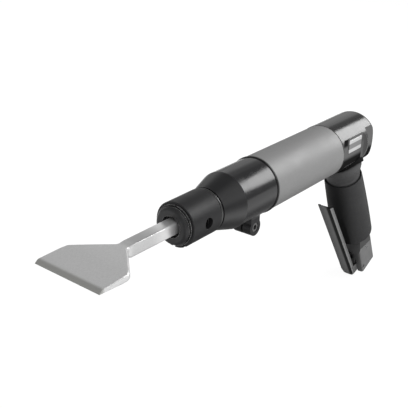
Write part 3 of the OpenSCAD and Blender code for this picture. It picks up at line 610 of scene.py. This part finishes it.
def black_enamel():
    """Gloss black on the housing's cylinder, matte on its flare and its lug, with painted sheen in
    bands that face fixed ways round the barrel.
    """
    made = Finish("black enamel", look().barrel.black_gloss, roughness=(0.13, 0.19),
                  grain=(2600.0, 0.000006), edge=0.0006, wear_and_highlight=grey(0.05), tone=0.05)
    tree = made.tree
    flare_x = high("seam_ring").x + 54.6 * MM
    lug_top = -30.7 * MM
    soft = 0.4 * MM
    flare = spread(tree, along(tree, "X"), flare_x - soft, flare_x + soft)
    lug = spread(tree, along(tree, "Z"), lug_top - MM, lug_top, 1.0, 0.0)
    made.roughen(either(tree, flare, lug), 0.33)
    # Painted sheen: a higher specular level in bands that face fixed ways, on the crown and on the
    # flare's sides.
    painted_crown_sheen = spread(tree, streak(tree, turn=10, width=14), 0.0, 1.0, 0.5, 0.95)
    sides = either(tree, streak(tree, turn=50, width=32), streak(tree, turn=106, width=30))
    painted_flare_sheen = blend(tree, sides, 0.40, 1.0)
    shine = blend(tree, flare, painted_crown_sheen, painted_flare_sheen)
    made.feed("Specular IOR Level", blend(tree, lug, shine, 0.24))
    return made.done()


def black_oxide():
    """Satin black oxide of the nose cap."""
    made = Finish("black oxide", look().barrel.black_satin, roughness=(0.40, 0.50),
                  grain=(1800.0, 0.000012), edge=0.0005, wear_and_highlight=grey(0.09), tone=0.10)
    made.set("Specular IOR Level", 0.31)
    return made.done()


def bush_steel():
    """Dark hardened steel of the bush, turned smooth, its edges bright: partly real wear, partly a
    painted highlight on the rim.
    """
    # Bright edge colour: partly real wear, partly a painted highlight on the rim.
    return Finish("bush steel", (0.024, 0.024, 0.025), metallic=0.3, roughness=(0.30, 0.42),
                  grain=(900.0, 0.00001), stretch=(8.0, 1.0, 1.0), edge=0.0009,
                  wear_and_highlight=grey(0.55), tone=0.15).done()


def seam_black():
    """Dark ring at the seam."""
    return Finish("seam black", grey(0.010), roughness=(0.30, 0.4), wear_and_highlight=grey(0.12)).done()


def blasted_grey():
    """Matte bead-blasted grey of the sleeve."""
    return Finish("blasted grey", look().barrel.sleeve_grey, metallic=0.35, roughness=(0.52, 0.60),
                  grain=(2200.0, 0.00003), edge=0.0005, wear_and_highlight=grey(0.5), tone=0.10,
                  marks=22.0).done()


def polished_head():
    """Polished head, turned marks running round it, with a painted dark band along its upper side
    and painted shade low and in front, on its milled flats and lower side.
    """
    metal = 0.15
    made = Finish("polished head", look().barrel.head_grey, metallic=metal, roughness=(0.15, 0.22),
                  grain=(1200.0, 0.000008), stretch=(9.0, 1.0, 1.0), edge=0.0008,
                  wear_and_highlight=grey(0.35), tone=0.08, marks=26.0)
    tree = made.tree
    sideways = facing(tree, SIDE_Y)
    height = along(tree, "Z")
    plate_x = high("name_plate").x
    flat = spread(tree, sideways, 0.985, 0.995)
    # Painted shade: a dark band, darker and less specular, along the head where it faces a fixed
    # way.
    painted_dark_band = streak(tree, turn=21, width=11)
    made.tint(painted_dark_band, grey(0.02))
    made.tint(flat, grey(0.08))
    made.roughen(flat, 0.38)
    run_out = both(tree, math_node(tree, "SUBTRACT", spread(tree, sideways, 0.86, 0.90), flat),
                   spread(tree, height, 3 * MM, 7 * MM, 1.0, 0.0))
    made.tint(run_out, grey(0.09))
    # Painted shade, darker, rougher and without metal: in the flat's front corner, low on the
    # flats and low on the side in front.
    ahead = spread(tree, along(tree, "X"), plate_x, plate_x + 4 * MM)
    pocket = both(tree, ahead, spread(tree, height, 5 * MM, 10 * MM))
    under = spread(tree, height, -11 * MM, -5 * MM, 1.0, 0.0)
    lower_edge = both(tree, both(tree, under, ahead), spread(tree, sideways, 0.55, 0.75))
    painted_shade = either(tree, both(tree, either(tree, pocket, under), flat), lower_edge)
    made.tint(painted_shade, grey(0.008))
    made.roughen(painted_shade, 0.6)
    unshaded_shine = blend(tree, painted_dark_band, 0.5, 0.3)
    made.feed("Specular IOR Level", blend(tree, painted_shade, unshaded_shine, 0.02))
    made.feed("Metallic", blend(tree, painted_shade, metal, 0.0))
    return made.done()


def bare_plate():
    """Bare satin name plate: two bright bars and a grey field between them."""
    made = Finish("bare plate", look().barrel.plate_grey, metallic=0.7, roughness=(0.28, 0.36),
                  grain=(1600.0, 0.00001), stretch=(0.06, 1.0, 1.0), edge=0.0003, tone=0.08)
    tree = made.tree
    middle = (low("name_plate").z + high("name_plate").z) / 2
    height = along(tree, "Z")
    over = spread(tree, height, middle - 3.4 * MM, middle - 2.8 * MM)
    under = spread(tree, height, middle + 3.0 * MM, middle + 3.6 * MM, 1.0, 0.0)
    made.tint(both(tree, over, under), grey(0.24))
    return made.done()


def satin_steel():
    """Satin forged steel of the chisel: lighter from the bush back, partly real rubbing and partly
    painted light; painted shade on its top near the neck, painted light on the blade's +Y side;
    ground along its edge.
    """
    chosen = look().chisel
    made = Finish("satin steel", chosen.steel, metallic=0.75, roughness=(0.30, 0.38),
                  grain=(1400.0, 0.000008), stretch=(0.3, 1.0, 1.0), edge=0.0007,
                  wear_and_highlight=grey(0.8), tone=0.05, marks=30.0)
    tree = made.tree
    edge_x = high("chisel").x
    place_x = along(tree, "X")

    def behind(start, end, *levels):
        """A mask that changes between two distances behind the edge, in mm."""
        return spread(tree, place_x, edge_x - start * MM, edge_x - end * MM, *levels)

    # Lighter from the bush back: partly real rubbing, partly painted light against the nose's
    # shade.
    rubbed_and_lit = behind(125, 95, 1.0, 0.0)
    made.tint(rubbed_and_lit, grey(0.95))
    # Painted shade on the top faces near the neck.
    upward = spread(tree, facing(tree, UP_Z), 0.8, 0.95)
    near_neck = both(tree, behind(125, 92), behind(80, 66, 1.0, 0.0))
    made.tint(both(tree, upward, near_neck), grey(0.46))
    blade = behind(76, 70)
    # Painted light on the blade's side that faces +Y.
    painted_lit_flank = both(tree, blade, spread(tree, facing(tree, SIDE_Y), 0.8, 0.95))
    made.tint(painted_lit_flank, grey(0.85))
    made.roughen(blade, 0.5)
    bevel = behind(7, 2)
    made.tint(bevel, chosen.ground)
    return made.done()


def plain_metal(name, colour, metallic=1.0, roughness=(0.22, 0.32)):
    """Machined metal of the small and inner parts."""
    return Finish(name, colour, metallic=metallic, roughness=roughness, grain=(1400.0, 0.00001),
                  edge=0.0003, wear_and_highlight=tuple(min(1.0, c * 1.5) for c in colour), tone=0.08).done()


def cast_grey():
    """Dark grey cast neck, with painted shade up against the head."""
    made = Finish("cast grey", look().handle.neck, metallic=0.1, roughness=(0.42, 0.52),
                  grain=(1300.0, 0.00006), edge=0.0008, wear_and_highlight=grey(0.10), tone=0.18)
    tree = made.tree
    # Painted shade: darker and less specular close to the barrel, up against the head.
    painted_shade = spread(tree, from_barrel(tree), 32 * MM, 38 * MM, 1.0, 0.0)
    made.tint(painted_shade, grey(0.004))
    made.feed("Specular IOR Level", blend(tree, painted_shade, 0.5, 0.05))
    return made.done()


def moulded_rubber(name, colour, grain, shine=0.38):
    """Matte moulded rubber with a fine pebble, with painted shade on its lever side."""
    made = Finish(name, colour, roughness=(0.55, 0.68), grain=grain, edge=0.0006, tone=0.2)
    tree = made.tree
    # Painted shade: darker and less specular where the surface faces the lever's side.
    held = spread(tree, facing(tree, (0.35, -0.94, 0)), -0.75, 0.3)
    made.tint(held, tuple(c * 0.42 for c in colour))
    made.feed("Specular IOR Level", blend(tree, held, shine, shine * 0.3))
    return made.done()


def coated_lever():
    """Grey coated sheet of the lever, with a painted shading gradient across its face, a painted
    dark stripe and a painted highlight on its rounded edge.
    """
    made = Finish("coated lever", look().handle.lever, metallic=0.4, roughness=(0.34, 0.44),
                  grain=(1700.0, 0.00002), edge=0.0007, wear_and_highlight=grey(0.42), tone=0.12)
    tree = made.tree
    across = along(tree, "Y")
    edge_y = high("lever").y
    stripe_start, stripe_end = edge_y - 8.5 * MM, edge_y - 5.5 * MM
    # Painted shading: the face lightens across its width towards the stripe.
    made.tint(spread(tree, across, -edge_y, stripe_start), grey(0.20))
    # Painted shade: a dark stripe along the face beside the rounded edge.
    painted_dark_stripe = spread(tree, across, stripe_start, stripe_end)
    made.tint(painted_dark_stripe, grey(0.012))
    # Painted highlight: lighter and smoother on the rounded edge that faces sideways.
    sideways = facing(tree, SIDE_Y)
    painted_highlight = both(tree, spread(tree, sideways, 0.12, 0.4),
                    spread(tree, sideways, 0.85, 0.98, 1.0, 0.45))
    made.tint(painted_highlight, grey(0.40))
    made.roughen(painted_highlight, 0.3)
    # Less specular level and metal on the painted stripe, more on the painted highlight.
    quiet = math_node(tree, "SUBTRACT", painted_dark_stripe, painted_highlight)
    made.feed("Specular IOR Level", spread(tree, quiet, 0.0, 1.0, 0.5, 0.1))
    made.feed("Metallic", spread(tree, quiet, 0.0, 1.0, 0.4, 0.05))
    return made.done()


def machined_base():
    """Machined base: bright sides, with painted shade on its upward bevels and its front."""
    made = Finish("machined base", look().handle.base, metallic=0.6, roughness=(0.26, 0.36),
                  grain=(1000.0, 0.000012), stretch=(1.0, 1.0, 0.12), edge=0.0006,
                  wear_and_highlight=grey(0.5), tone=0.10)
    tree = made.tree
    # Painted shade on the bevels that face up.
    bevel = spread(tree, facing(tree, -HANDLE_DOWN), 0.06, 0.14)
    made.tint(bevel, grey(0.10))
    # Painted shade on the front face, darker and rougher.
    front = spread(tree, facing(tree, HANDLE_ACROSS), 0.5, 0.8)
    made.tint(front, (0.15, 0.15, 0.151))
    made.roughen(front, 0.5)
    return made.done()


# Pieces


def chisel_sections(chosen):
    """Sections of the forging from its collar to its edge, straight along X."""
    shank_start, ramp_len, bevel_len = 59 * MM, 6 * MM, 3 * MM
    blade_len, shoulder_len, blade_half = 67.4 * MM, 31 * MM, 37.4 * MM
    near_round, far_round = 9 * MM, 4 * MM
    edge_x = high("chisel").x
    half_shank = chosen.shank_width / 2
    blade_x = edge_x - blade_len
    back_x = blade_x + shoulder_len
    ramp_x = blade_x - ramp_len
    shank_x = low("chisel").x + shank_start
    slope = (blade_half - half_shank) / (back_x - blade_x)
    bevel_x = edge_x - bevel_len
    fillet = chosen.neck_fillet
    lean = (1 + slope * slope) ** 0.5
    fillet_len = fillet * slope / (1 + lean)

    def half_width(x, blade_round):
        """Half width of the plan outline, with its neck fillet and rounded rear corner."""
        start = blade_x - fillet_len
        end = blade_x + fillet_len / lean
        if x <= start:
            return half_shank
        if x < end:
            return half_shank + fillet - (fillet ** 2 - (x - start) ** 2) ** 0.5
        corner = blade_round * slope / (1 + lean)
        if x < back_x - corner / lean:
            return half_shank + slope * (x - blade_x)
        if x < back_x + corner:
            gone = back_x + corner - x
            return blade_half - blade_round + (blade_round ** 2 - gone ** 2) ** 0.5
        return blade_half

    def lerp(x, stations):
        """Value at x along straight stretches between (x, value) stations."""
        for (xa, va), (xb, vb) in zip(stations, stations[1:]):
            if x <= xb:
                return va + (vb - va) * max(0.0, (x - xa) / (xb - xa))
        return stations[-1][1]

    tops = [(shank_x, half_shank), (ramp_x - 2 * MM, half_shank),
            (ramp_x + 5 * MM, half_shank - 0.3 * MM), (back_x - 14 * MM, half_shank - 0.3 * MM),
            (back_x - 7 * MM, half_shank - 0.38 * MM), (back_x, half_shank - 0.55 * MM),
            (back_x + 8 * MM, half_shank - 0.95 * MM), (bevel_x - 2.4 * MM, 4.46 * MM),
            (bevel_x - 1.2 * MM, 4.36 * MM), (bevel_x - 0.3 * MM, 4.08 * MM),
            (bevel_x + 0.5 * MM, 3.6 * MM), (edge_x, 1.3 * MM)]
    bottoms = [(shank_x, -half_shank), (ramp_x, -half_shank), (blade_x, 1.5 * MM - half_shank),
               (back_x, half_shank - 8.2 * MM), (edge_x, 0.9 * MM)]
    rounds = [(shank_x, chosen.corner_round), (blade_x - 2 * fillet_len, chosen.corner_round),
              (blade_x + fillet_len, chosen.shoulder_round), (back_x, chosen.shoulder_round),
              (back_x + 8 * MM, 1.6 * MM), (bevel_x, 0.6 * MM), (edge_x, 0.2 * MM)]
    stations = {shank_x, ramp_x, ramp_x - 2 * MM, ramp_x + 5 * MM, blade_x, back_x, bevel_x,
                bevel_x - 2.4 * MM, bevel_x - 1.2 * MM, bevel_x - 0.3 * MM, bevel_x + 0.5 * MM,
                edge_x - 0.05 * MM, edge_x}
    for start, length, count in (
            (blade_x - fillet_len, fillet_len + fillet_len / lean, 10),
            (blade_x, back_x - blade_x, 12), (back_x - 5 * MM, 11 * MM, 22),
            (shank_x, ramp_x - shank_x, 8), (back_x, bevel_x - back_x, 6),
            (back_x - 14 * MM, 22 * MM, 22)):
        stations |= {start + length * k / count for k in range(count + 1)}
    return [rounded_box_section(x, half_width(x, near_round), half_width(x, far_round),
                                lerp(x, tops), lerp(x, bottoms), lerp(x, rounds))
            for x in sorted(stations)]


class HAMMER_OT_chisel(bpy.types.Operator):
    """Builds the forged chisel: round struck end, collar, square shank and wide blade"""
    bl_idname = "hammer.chisel"
    bl_label = "Chisel"

    def execute(self, context):
        chosen = look().chisel
        end_len, collar_end = 52 * MM, 60 * MM
        end_r, collar_r = chosen.shank_width / 2, 12.5 * MM
        edge = 1.0 * MM
        cut, inner = edge * 0.3, edge * 0.5
        profile = [(0, end_r - edge), (cut, end_r - cut), (edge, end_r),
                   (end_len - 2 * edge, end_r), (end_len - inner, end_r + inner),
                   (end_len, collar_r - edge), (end_len + cut, collar_r - cut),
                   (end_len + edge, collar_r), (collar_end - edge, collar_r),
                   (collar_end - cut, collar_r - cut), (collar_end, collar_r - edge),
                   (collar_end, end_r * 0.6)]
        rear = Vector((low("chisel").x, 0, 0))
        points, faces = loft(ring_sections(profile, rear, BARREL_X, SIDE_Y, count=64))
        more, skin = loft(chisel_sections(chosen))
        faces += [tuple(i + len(points) for i in face) for face in skin]
        turn = Matrix.Rotation(chosen.turn, 4, "X")
        turned = [turn @ Vector(p) for p in points + more]
        piece = add_piece("forged_chisel", turned, faces, radians(30))
        dress(piece, "chisel", "chisel_steel", satin_steel(), "chisel")
        return {"FINISHED"}


class HAMMER_OT_nose(bpy.types.Operator):
    """Finishes the nose cap, its bush and the wire ring behind it"""
    bl_idname = "hammer.nose"
    bl_label = "Nose"

    def execute(self, context):
        coat(black_oxide(), "nose_cap")
        coat(bush_steel(), "shank_bush")
        wire = plain_metal("spring wire", grey(0.10), metallic=0.8, roughness=(0.18, 0.26))
        coat(wire, "wire_ring")
        return {"FINISHED"}


class HAMMER_OT_housing(bpy.types.Operator):
    """Finishes the black housing, its clamp screw and nut, and the seam ring"""
    bl_idname = "hammer.housing"
    bl_label = "Housing"

    def execute(self, context):
        coat(black_enamel(), "front_housing")
        screws = plain_metal("dark screw", grey(0.16), metallic=0.8, roughness=(0.30, 0.42))
        coat(screws, "clamp_screw", "clamp_nut")
        coat(seam_black(), "seam_ring")
        return {"FINISHED"}


class HAMMER_OT_sleeve(bpy.types.Operator):
    """Finishes the blasted grey sleeve"""
    bl_idname = "hammer.sleeve"
    bl_label = "Sleeve"

    def execute(self, context):
        coat(blasted_grey(), "outer_sleeve")
        return {"FINISHED"}


class HAMMER_OT_head(bpy.types.Operator):
    """Finishes the rear head and builds its bare name plate"""
    bl_idname = "hammer.head"
    bl_label = "Head"

    def execute(self, context):
        coat(polished_head(), "rear_head")
        lowest, highest = low("name_plate"), high("name_plate")
        corner, edge = 1.3 * MM, 0.25 * MM
        cut = edge * 0.3
        middle = (lowest + highest) / 2
        half_x, half_z = (highest.x - lowest.x) / 2, (highest.z - lowest.z) / 2
        centres = [(middle.x + sx * (half_x - corner), middle.z + sz * (half_z - corner))
                   for sx, sz in ((1, 1), (-1, 1), (-1, -1), (1, -1))]
        sections = [[Vector((x, y, z)) for x, z in corner_arcs(centres, corner - inset)]
                    for y, inset in ((lowest.y, 0), (highest.y - edge, 0),
                                     (highest.y - cut, cut), (highest.y, edge))]
        piece = add_piece("bare_name_plate", *loft(sections), radians(50))
        dress(piece, "frame", "plate_metal", bare_plate(), "name_plate")
        return {"FINISHED"}


class HAMMER_OT_handle(bpy.types.Operator):
    """Finishes the cast neck and moulds its gasket"""
    bl_idname = "hammer.handle"
    bl_label = "Handle"

    def execute(self, context):
        coat(cast_grey(), "handle_core")
        gasket = soften("saddle_gasket", "neck_gasket", voxel=0.45 * MM, smoothing=4)
        rubber = moulded_rubber("gasket rubber", grey(0.006), (1500.0, 0.00003), shine=0.05)
        dress(gasket, "frame", "gasket_rubber", rubber, "neck_gasket")
        return {"FINISHED"}


class HAMMER_OT_grip(bpy.types.Operator):
    """Moulds the rubber grip with its round foot and the lever's groove"""
    bl_idname = "hammer.grip"
    bl_label = "Grip"

    def execute(self, context):
        chosen = look().handle
        grip = soften("moulded_grip", "grip_sleeve", voxel=chosen.grip_voxel, smoothing=3)
        rubber = moulded_rubber("grip rubber", chosen.rubber, (1100.0, 0.00012))
        dress(grip, "frame", "grip_rubber", rubber, "grip_sleeve")
        return {"FINISHED"}


class HAMMER_OT_base(bpy.types.Operator):
    """Finishes the base block, its pin, guide, plug and inlet, and moulds its gasket"""
    bl_idname = "hammer.base"
    bl_label = "Base"

    def execute(self, context):
        coat(machined_base(), "base_block")
        coat(plain_metal("pin steel", grey(0.30)), "lever_pin", "throttle_plug")
        coat(plain_metal("guide steel", grey(0.07), metallic=0.9), "throttle_guide")
        coat(plain_metal("machined bronze", (0.40, 0.29, 0.14)), "throttle_seat", "air_inlet")
        gasket = soften("foot_gasket", "base_gasket", voxel=0.3 * MM, smoothing=2)
        rubber = moulded_rubber("foot gasket rubber", grey(0.010), (1500.0, 0.00003))
        dress(gasket, "frame", "gasket_rubber", rubber, "base_gasket")
        return {"FINISHED"}


class HAMMER_OT_lever(bpy.types.Operator):
    """Finishes the squeeze lever and the valve's stem under it"""
    bl_idname = "hammer.lever"
    bl_label = "Lever"

    def execute(self, context):
        piece = new_object("pressed_lever", NODES["lever"].data.copy())
        round_foot(piece.data)
        dress(piece, "lever", "lever_paint", coated_lever(), "lever")
        coat(plain_metal("stem steel", grey(0.5)), "throttle_valve")
        return {"FINISHED"}


class HAMMER_OT_inside(bpy.types.Operator):
    """Finishes the percussion parts inside the barrel and the strainer"""
    bl_idname = "hammer.inside"
    bl_label = "Inside"

    def execute(self, context):
        coat(plain_metal("ground steel", (0.48, 0.48, 0.49)),
             "impact_cylinder", "front_seat", "valve_dowels", "valve_plate", "inlet_strainer")
        coat(plain_metal("polished steel", (0.6, 0.6, 0.61), roughness=(0.12, 0.2)), "piston")
        coat(plain_metal("distributor bronze", (0.42, 0.30, 0.15)), "valve_box", "valve_cap")
        return {"FINISHED"}


class HAMMER_OT_springs(bpy.types.Operator):
    """Winds the damping spring and the throttle spring with closed ends"""
    bl_idname = "hammer.springs"
    bl_label = "Springs"

    def execute(self, context):
        wire = plain_metal("spring steel", (0.36, 0.36, 0.37), roughness=(0.28, 0.38))
        lowest, highest = low("damping_spring"), high("damping_spring")
        rear, length = Vector((lowest.x, 0, 0)), highest.x - lowest.x
        coil = smooth_coil("wound_damping_spring", rear, BARREL_X, SIDE_Y,
                           mean_r=20.2 * MM, wire_r=1.5 * MM, length=length, turns=6)
        dress(coil, "frame", "spring_wire", wire, "damping_spring")
        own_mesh(coil)
        down, across, length = 183.5 * MM, -12.3 * MM, 6.9 * MM
        start = HANDLE_TOP + HANDLE_DOWN * down + HANDLE_ACROSS * across
        coil = smooth_coil("wound_throttle_spring", start, HANDLE_ACROSS, SIDE_Y,
                           mean_r=4.4 * MM, wire_r=0.45 * MM, length=length, turns=3, sides=8)
        dress(coil, "frame", "spring_wire", wire, "throttle_spring")
        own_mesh(coil)
        return {"FINISHED"}


class HAMMER_OT_seals(bpy.types.Operator):
    """Moulds the seals and buffers in rubber"""
    bl_idname = "hammer.seals"
    bl_label = "Seals"

    def execute(self, context):
        black = moulded_rubber("seal rubber", grey(0.012), (2200.0, 0.00001))
        brown = moulded_rubber("buffer rubber", (0.13, 0.06, 0.03), (1800.0, 0.00002))
        for source, body, material, slot in (
                ("cylinder_seal", "cylinder_group", black, "seal_rubber"),
                ("sleeve_seal", "frame", black, "seal_rubber"),
                ("grip_ring", "frame", black, "seal_rubber"),
                ("plug_seal", "frame", black, "seal_rubber"),
                ("chisel_buffer", "frame", brown, "buffer_rubber"),
                ("front_buffer", "frame", brown, "buffer_rubber")):
            seal = soften("moulded_" + source, source, voxel=0.35 * MM, smoothing=2)
            dress(seal, body, slot, material, source)
        return {"FINISHED"}


# Stage


def soft_box(name, heading, height, distance, width, tall, radiance):
    """A rectangular lamp of even radiance, aimed at the hammer from two angles in degrees."""
    lamp = bpy.data.lights.new(name, "AREA")
    lamp.shape = "RECTANGLE"
    lamp.size, lamp.size_y = width, tall
    lamp.energy = radiance * pi * width * tall
    target = Vector((0.0, 0.0, -0.02))
    heading, height = radians(heading), radians(height)
    out = Vector((cos(heading) * cos(height), sin(heading) * cos(height), sin(height)))
    place = target + out * distance
    box = new_object(name, lamp)
    box.location = place
    box.rotation_euler = (target - place).to_track_quat("-Z", "Y").to_euler()


def mirrored(tree, path):
    """A mask of what reflections and glass see."""
    return either(tree, path.outputs["Is Glossy Ray"], path.outputs["Is Transmission Ray"])


def paper_floor():
    """White floor: white to the camera but for the object's soft shadow; in reflections, white but
    for a painted shadow along the barrel's line.
    """
    shown_glow, shown_share = 1.12, 0.82
    made = bpy.data.materials.new("paper floor")
    made.use_nodes = True
    tree = made.node_tree
    output = tree.nodes["Material Output"]
    tree.nodes.remove(tree.nodes["Principled BSDF"])
    matte = node(tree, "ShaderNodeBsdfDiffuse", Color=(*grey(0.88), 1.0))
    glow = node(tree, "ShaderNodeEmission", Color=(*grey(1.0), 1.0))
    path = tree.nodes.new("ShaderNodeLightPath")
    seen = path.outputs["Is Camera Ray"]
    # Painted shadow in reflections: the glow dims near the barrel's line.
    off_axis = math_node(tree, "ABSOLUTE", along(tree, "Y"))
    painted_shadow_glow = spread(tree, off_axis, 0.07, 0.27, 0.22, 1.0)
    tree.links.new(blend(tree, seen, painted_shadow_glow, shown_glow), glow.inputs["Strength"])
    mix = tree.nodes.new("ShaderNodeMixShader")
    glowing = either(tree, both(tree, seen, shown_share), mirrored(tree, path))
    tree.links.new(glowing, mix.inputs[0])
    tree.links.new(matte.outputs[0], mix.inputs[1])
    tree.links.new(glow.outputs[0], mix.inputs[2])
    tree.links.new(mix.outputs[0], output.inputs["Surface"])
    return made


def white_room(strength):
    """World: white to the camera, paler towards the horizon in reflections, uneven as light."""
    world = bpy.data.worlds.new("white room")
    world.use_nodes = True
    tree = world.node_tree
    sky = tree.nodes["Background"]
    path = tree.nodes.new("ShaderNodeLightPath")
    coord = tree.nodes.new("ShaderNodeTexCoord")
    parts = tree.nodes.new("ShaderNodeSeparateXYZ")
    tree.links.new(coord.outputs["Generated"], parts.inputs[0])
    height = parts.outputs["Z"]
    rise = spread(tree, height, 0.02, 0.25, 0.34, 0.56)
    dip = spread(tree, height, 0.42, 0.55, 0.0, 0.30)
    reflected = math_node(tree, "SUBTRACT", rise, dip)
    side = spread(tree, parts.outputs["Y"], -1.0, 1.0, 0.3 * strength, 1.4 * strength)
    light = blend(tree, mirrored(tree, path), side, reflected)
    shown = blend(tree, path.outputs["Is Camera Ray"], light, 1.0)
    sky.inputs["Color"].default_value = (*grey(1.0), 1.0)
    tree.links.new(shown, sky.inputs["Strength"])
    bpy.context.scene.world = world


def camera_frame(chosen):
    """The camera's matrix from its azimuth, elevation, roll and place."""
    az, el, roll = chosen.azimuth, chosen.elevation, chosen.roll
    right = Vector((cos(az), sin(az), 0))
    back = Vector((sin(az) * cos(el), -cos(az) * cos(el), sin(el)))
    up = back.cross(right)
    rolled_right = right * cos(roll) + up * sin(roll)
    rolled_up = up * cos(roll) - right * sin(roll)
    turned = Matrix((rolled_right, rolled_up, back)).transposed().to_4x4()
    return Matrix.Translation(Vector(chosen.place)) @ turned


class HAMMER_OT_stage(bpy.types.Operator):
    """Sets up the camera, the lamps, the white floor and the view transform"""
    bl_idname = "hammer.stage"
    bl_label = "Stage"

    def execute(self, context):
        chosen = look().stage
        lens = bpy.data.cameras.new("camera")
        lens.sensor_width = 36.0
        lens.lens = chosen.lens
        lens.clip_start, lens.clip_end = 0.01, 60.0
        camera = new_object("camera", lens)
        camera.matrix_world = camera_frame(chosen)
        context.scene.camera = camera
        soft_box("key box", heading=158, height=25.5, distance=1.6, width=0.88, tall=0.68,
                 radiance=chosen.key)
        soft_box("rear box", heading=-130, height=30, distance=1.8, width=0.7, tall=0.7,
                 radiance=0.4)
        soft_box("front box", heading=60, height=50, distance=1.9, width=1.0, tall=1.0,
                 radiance=1.6)
        white_room(chosen.world)
        floor_half = 2.2
        bottom = CAD_BOX[0][2]
        corners = [(sx * floor_half, sy * floor_half, bottom)
                   for sx, sy in ((-1, -1), (1, -1), (1, 1), (-1, 1))]
        floor = add_piece("floor", corners, [(0, 1, 2, 3)])
        floor.modifiers.clear()
        floor.data.materials.append(paper_floor())
        context.scene.view_settings.view_transform = "Standard"
        return {"FINISHED"}


PIECE_OPERATORS = (
    HAMMER_OT_chisel, HAMMER_OT_nose, HAMMER_OT_housing, HAMMER_OT_sleeve, HAMMER_OT_head,
    HAMMER_OT_handle, HAMMER_OT_grip, HAMMER_OT_base, HAMMER_OT_lever, HAMMER_OT_inside,
    HAMMER_OT_springs, HAMMER_OT_seals)


class HAMMER_PT_panel(bpy.types.Panel):
    """Lists the hammer's pieces and stage"""
    bl_label = "Chipping hammer"
    bl_space_type = "VIEW_3D"
    bl_region_type = "UI"
    bl_category = "Hammer"

    def draw(self, context):
        layout = self.layout
        for operator in (HAMMER_OT_stage, *PIECE_OPERATORS):
            layout.operator(operator.bl_idname)
        settings = context.scene.hammer_look
        for part in (settings.chisel, settings.barrel, settings.handle, settings.stage):
            box = layout.box()
            box.label(text=part.bl_rna.description)
            for label in part.__annotations__:
                box.prop(part, label)


CLASSES = (ChiselLook, BarrelLook, HandleLook, StageLook, HammerLook, HAMMER_OT_stage,
           *PIECE_OPERATORS, HAMMER_PT_panel)


def register():
    """Registers the classes and the scene's settings."""
    for made in CLASSES:
        bpy.utils.register_class(made)
    bpy.types.Scene.hammer_look = PointerProperty(type=HammerLook)


def unregister():
    """Takes the settings and the classes out again."""
    del bpy.types.Scene.hammer_look
    for made in reversed(CLASSES):
        bpy.utils.unregister_class(made)


def main():
    """Builds the stage and every piece."""
    register()
    bpy.ops.hammer.stage()
    for operator in PIECE_OPERATORS:
        area, name = operator.bl_idname.split(".")
        getattr(getattr(bpy.ops, area), name)()


if __name__ == "__main__":
    main()
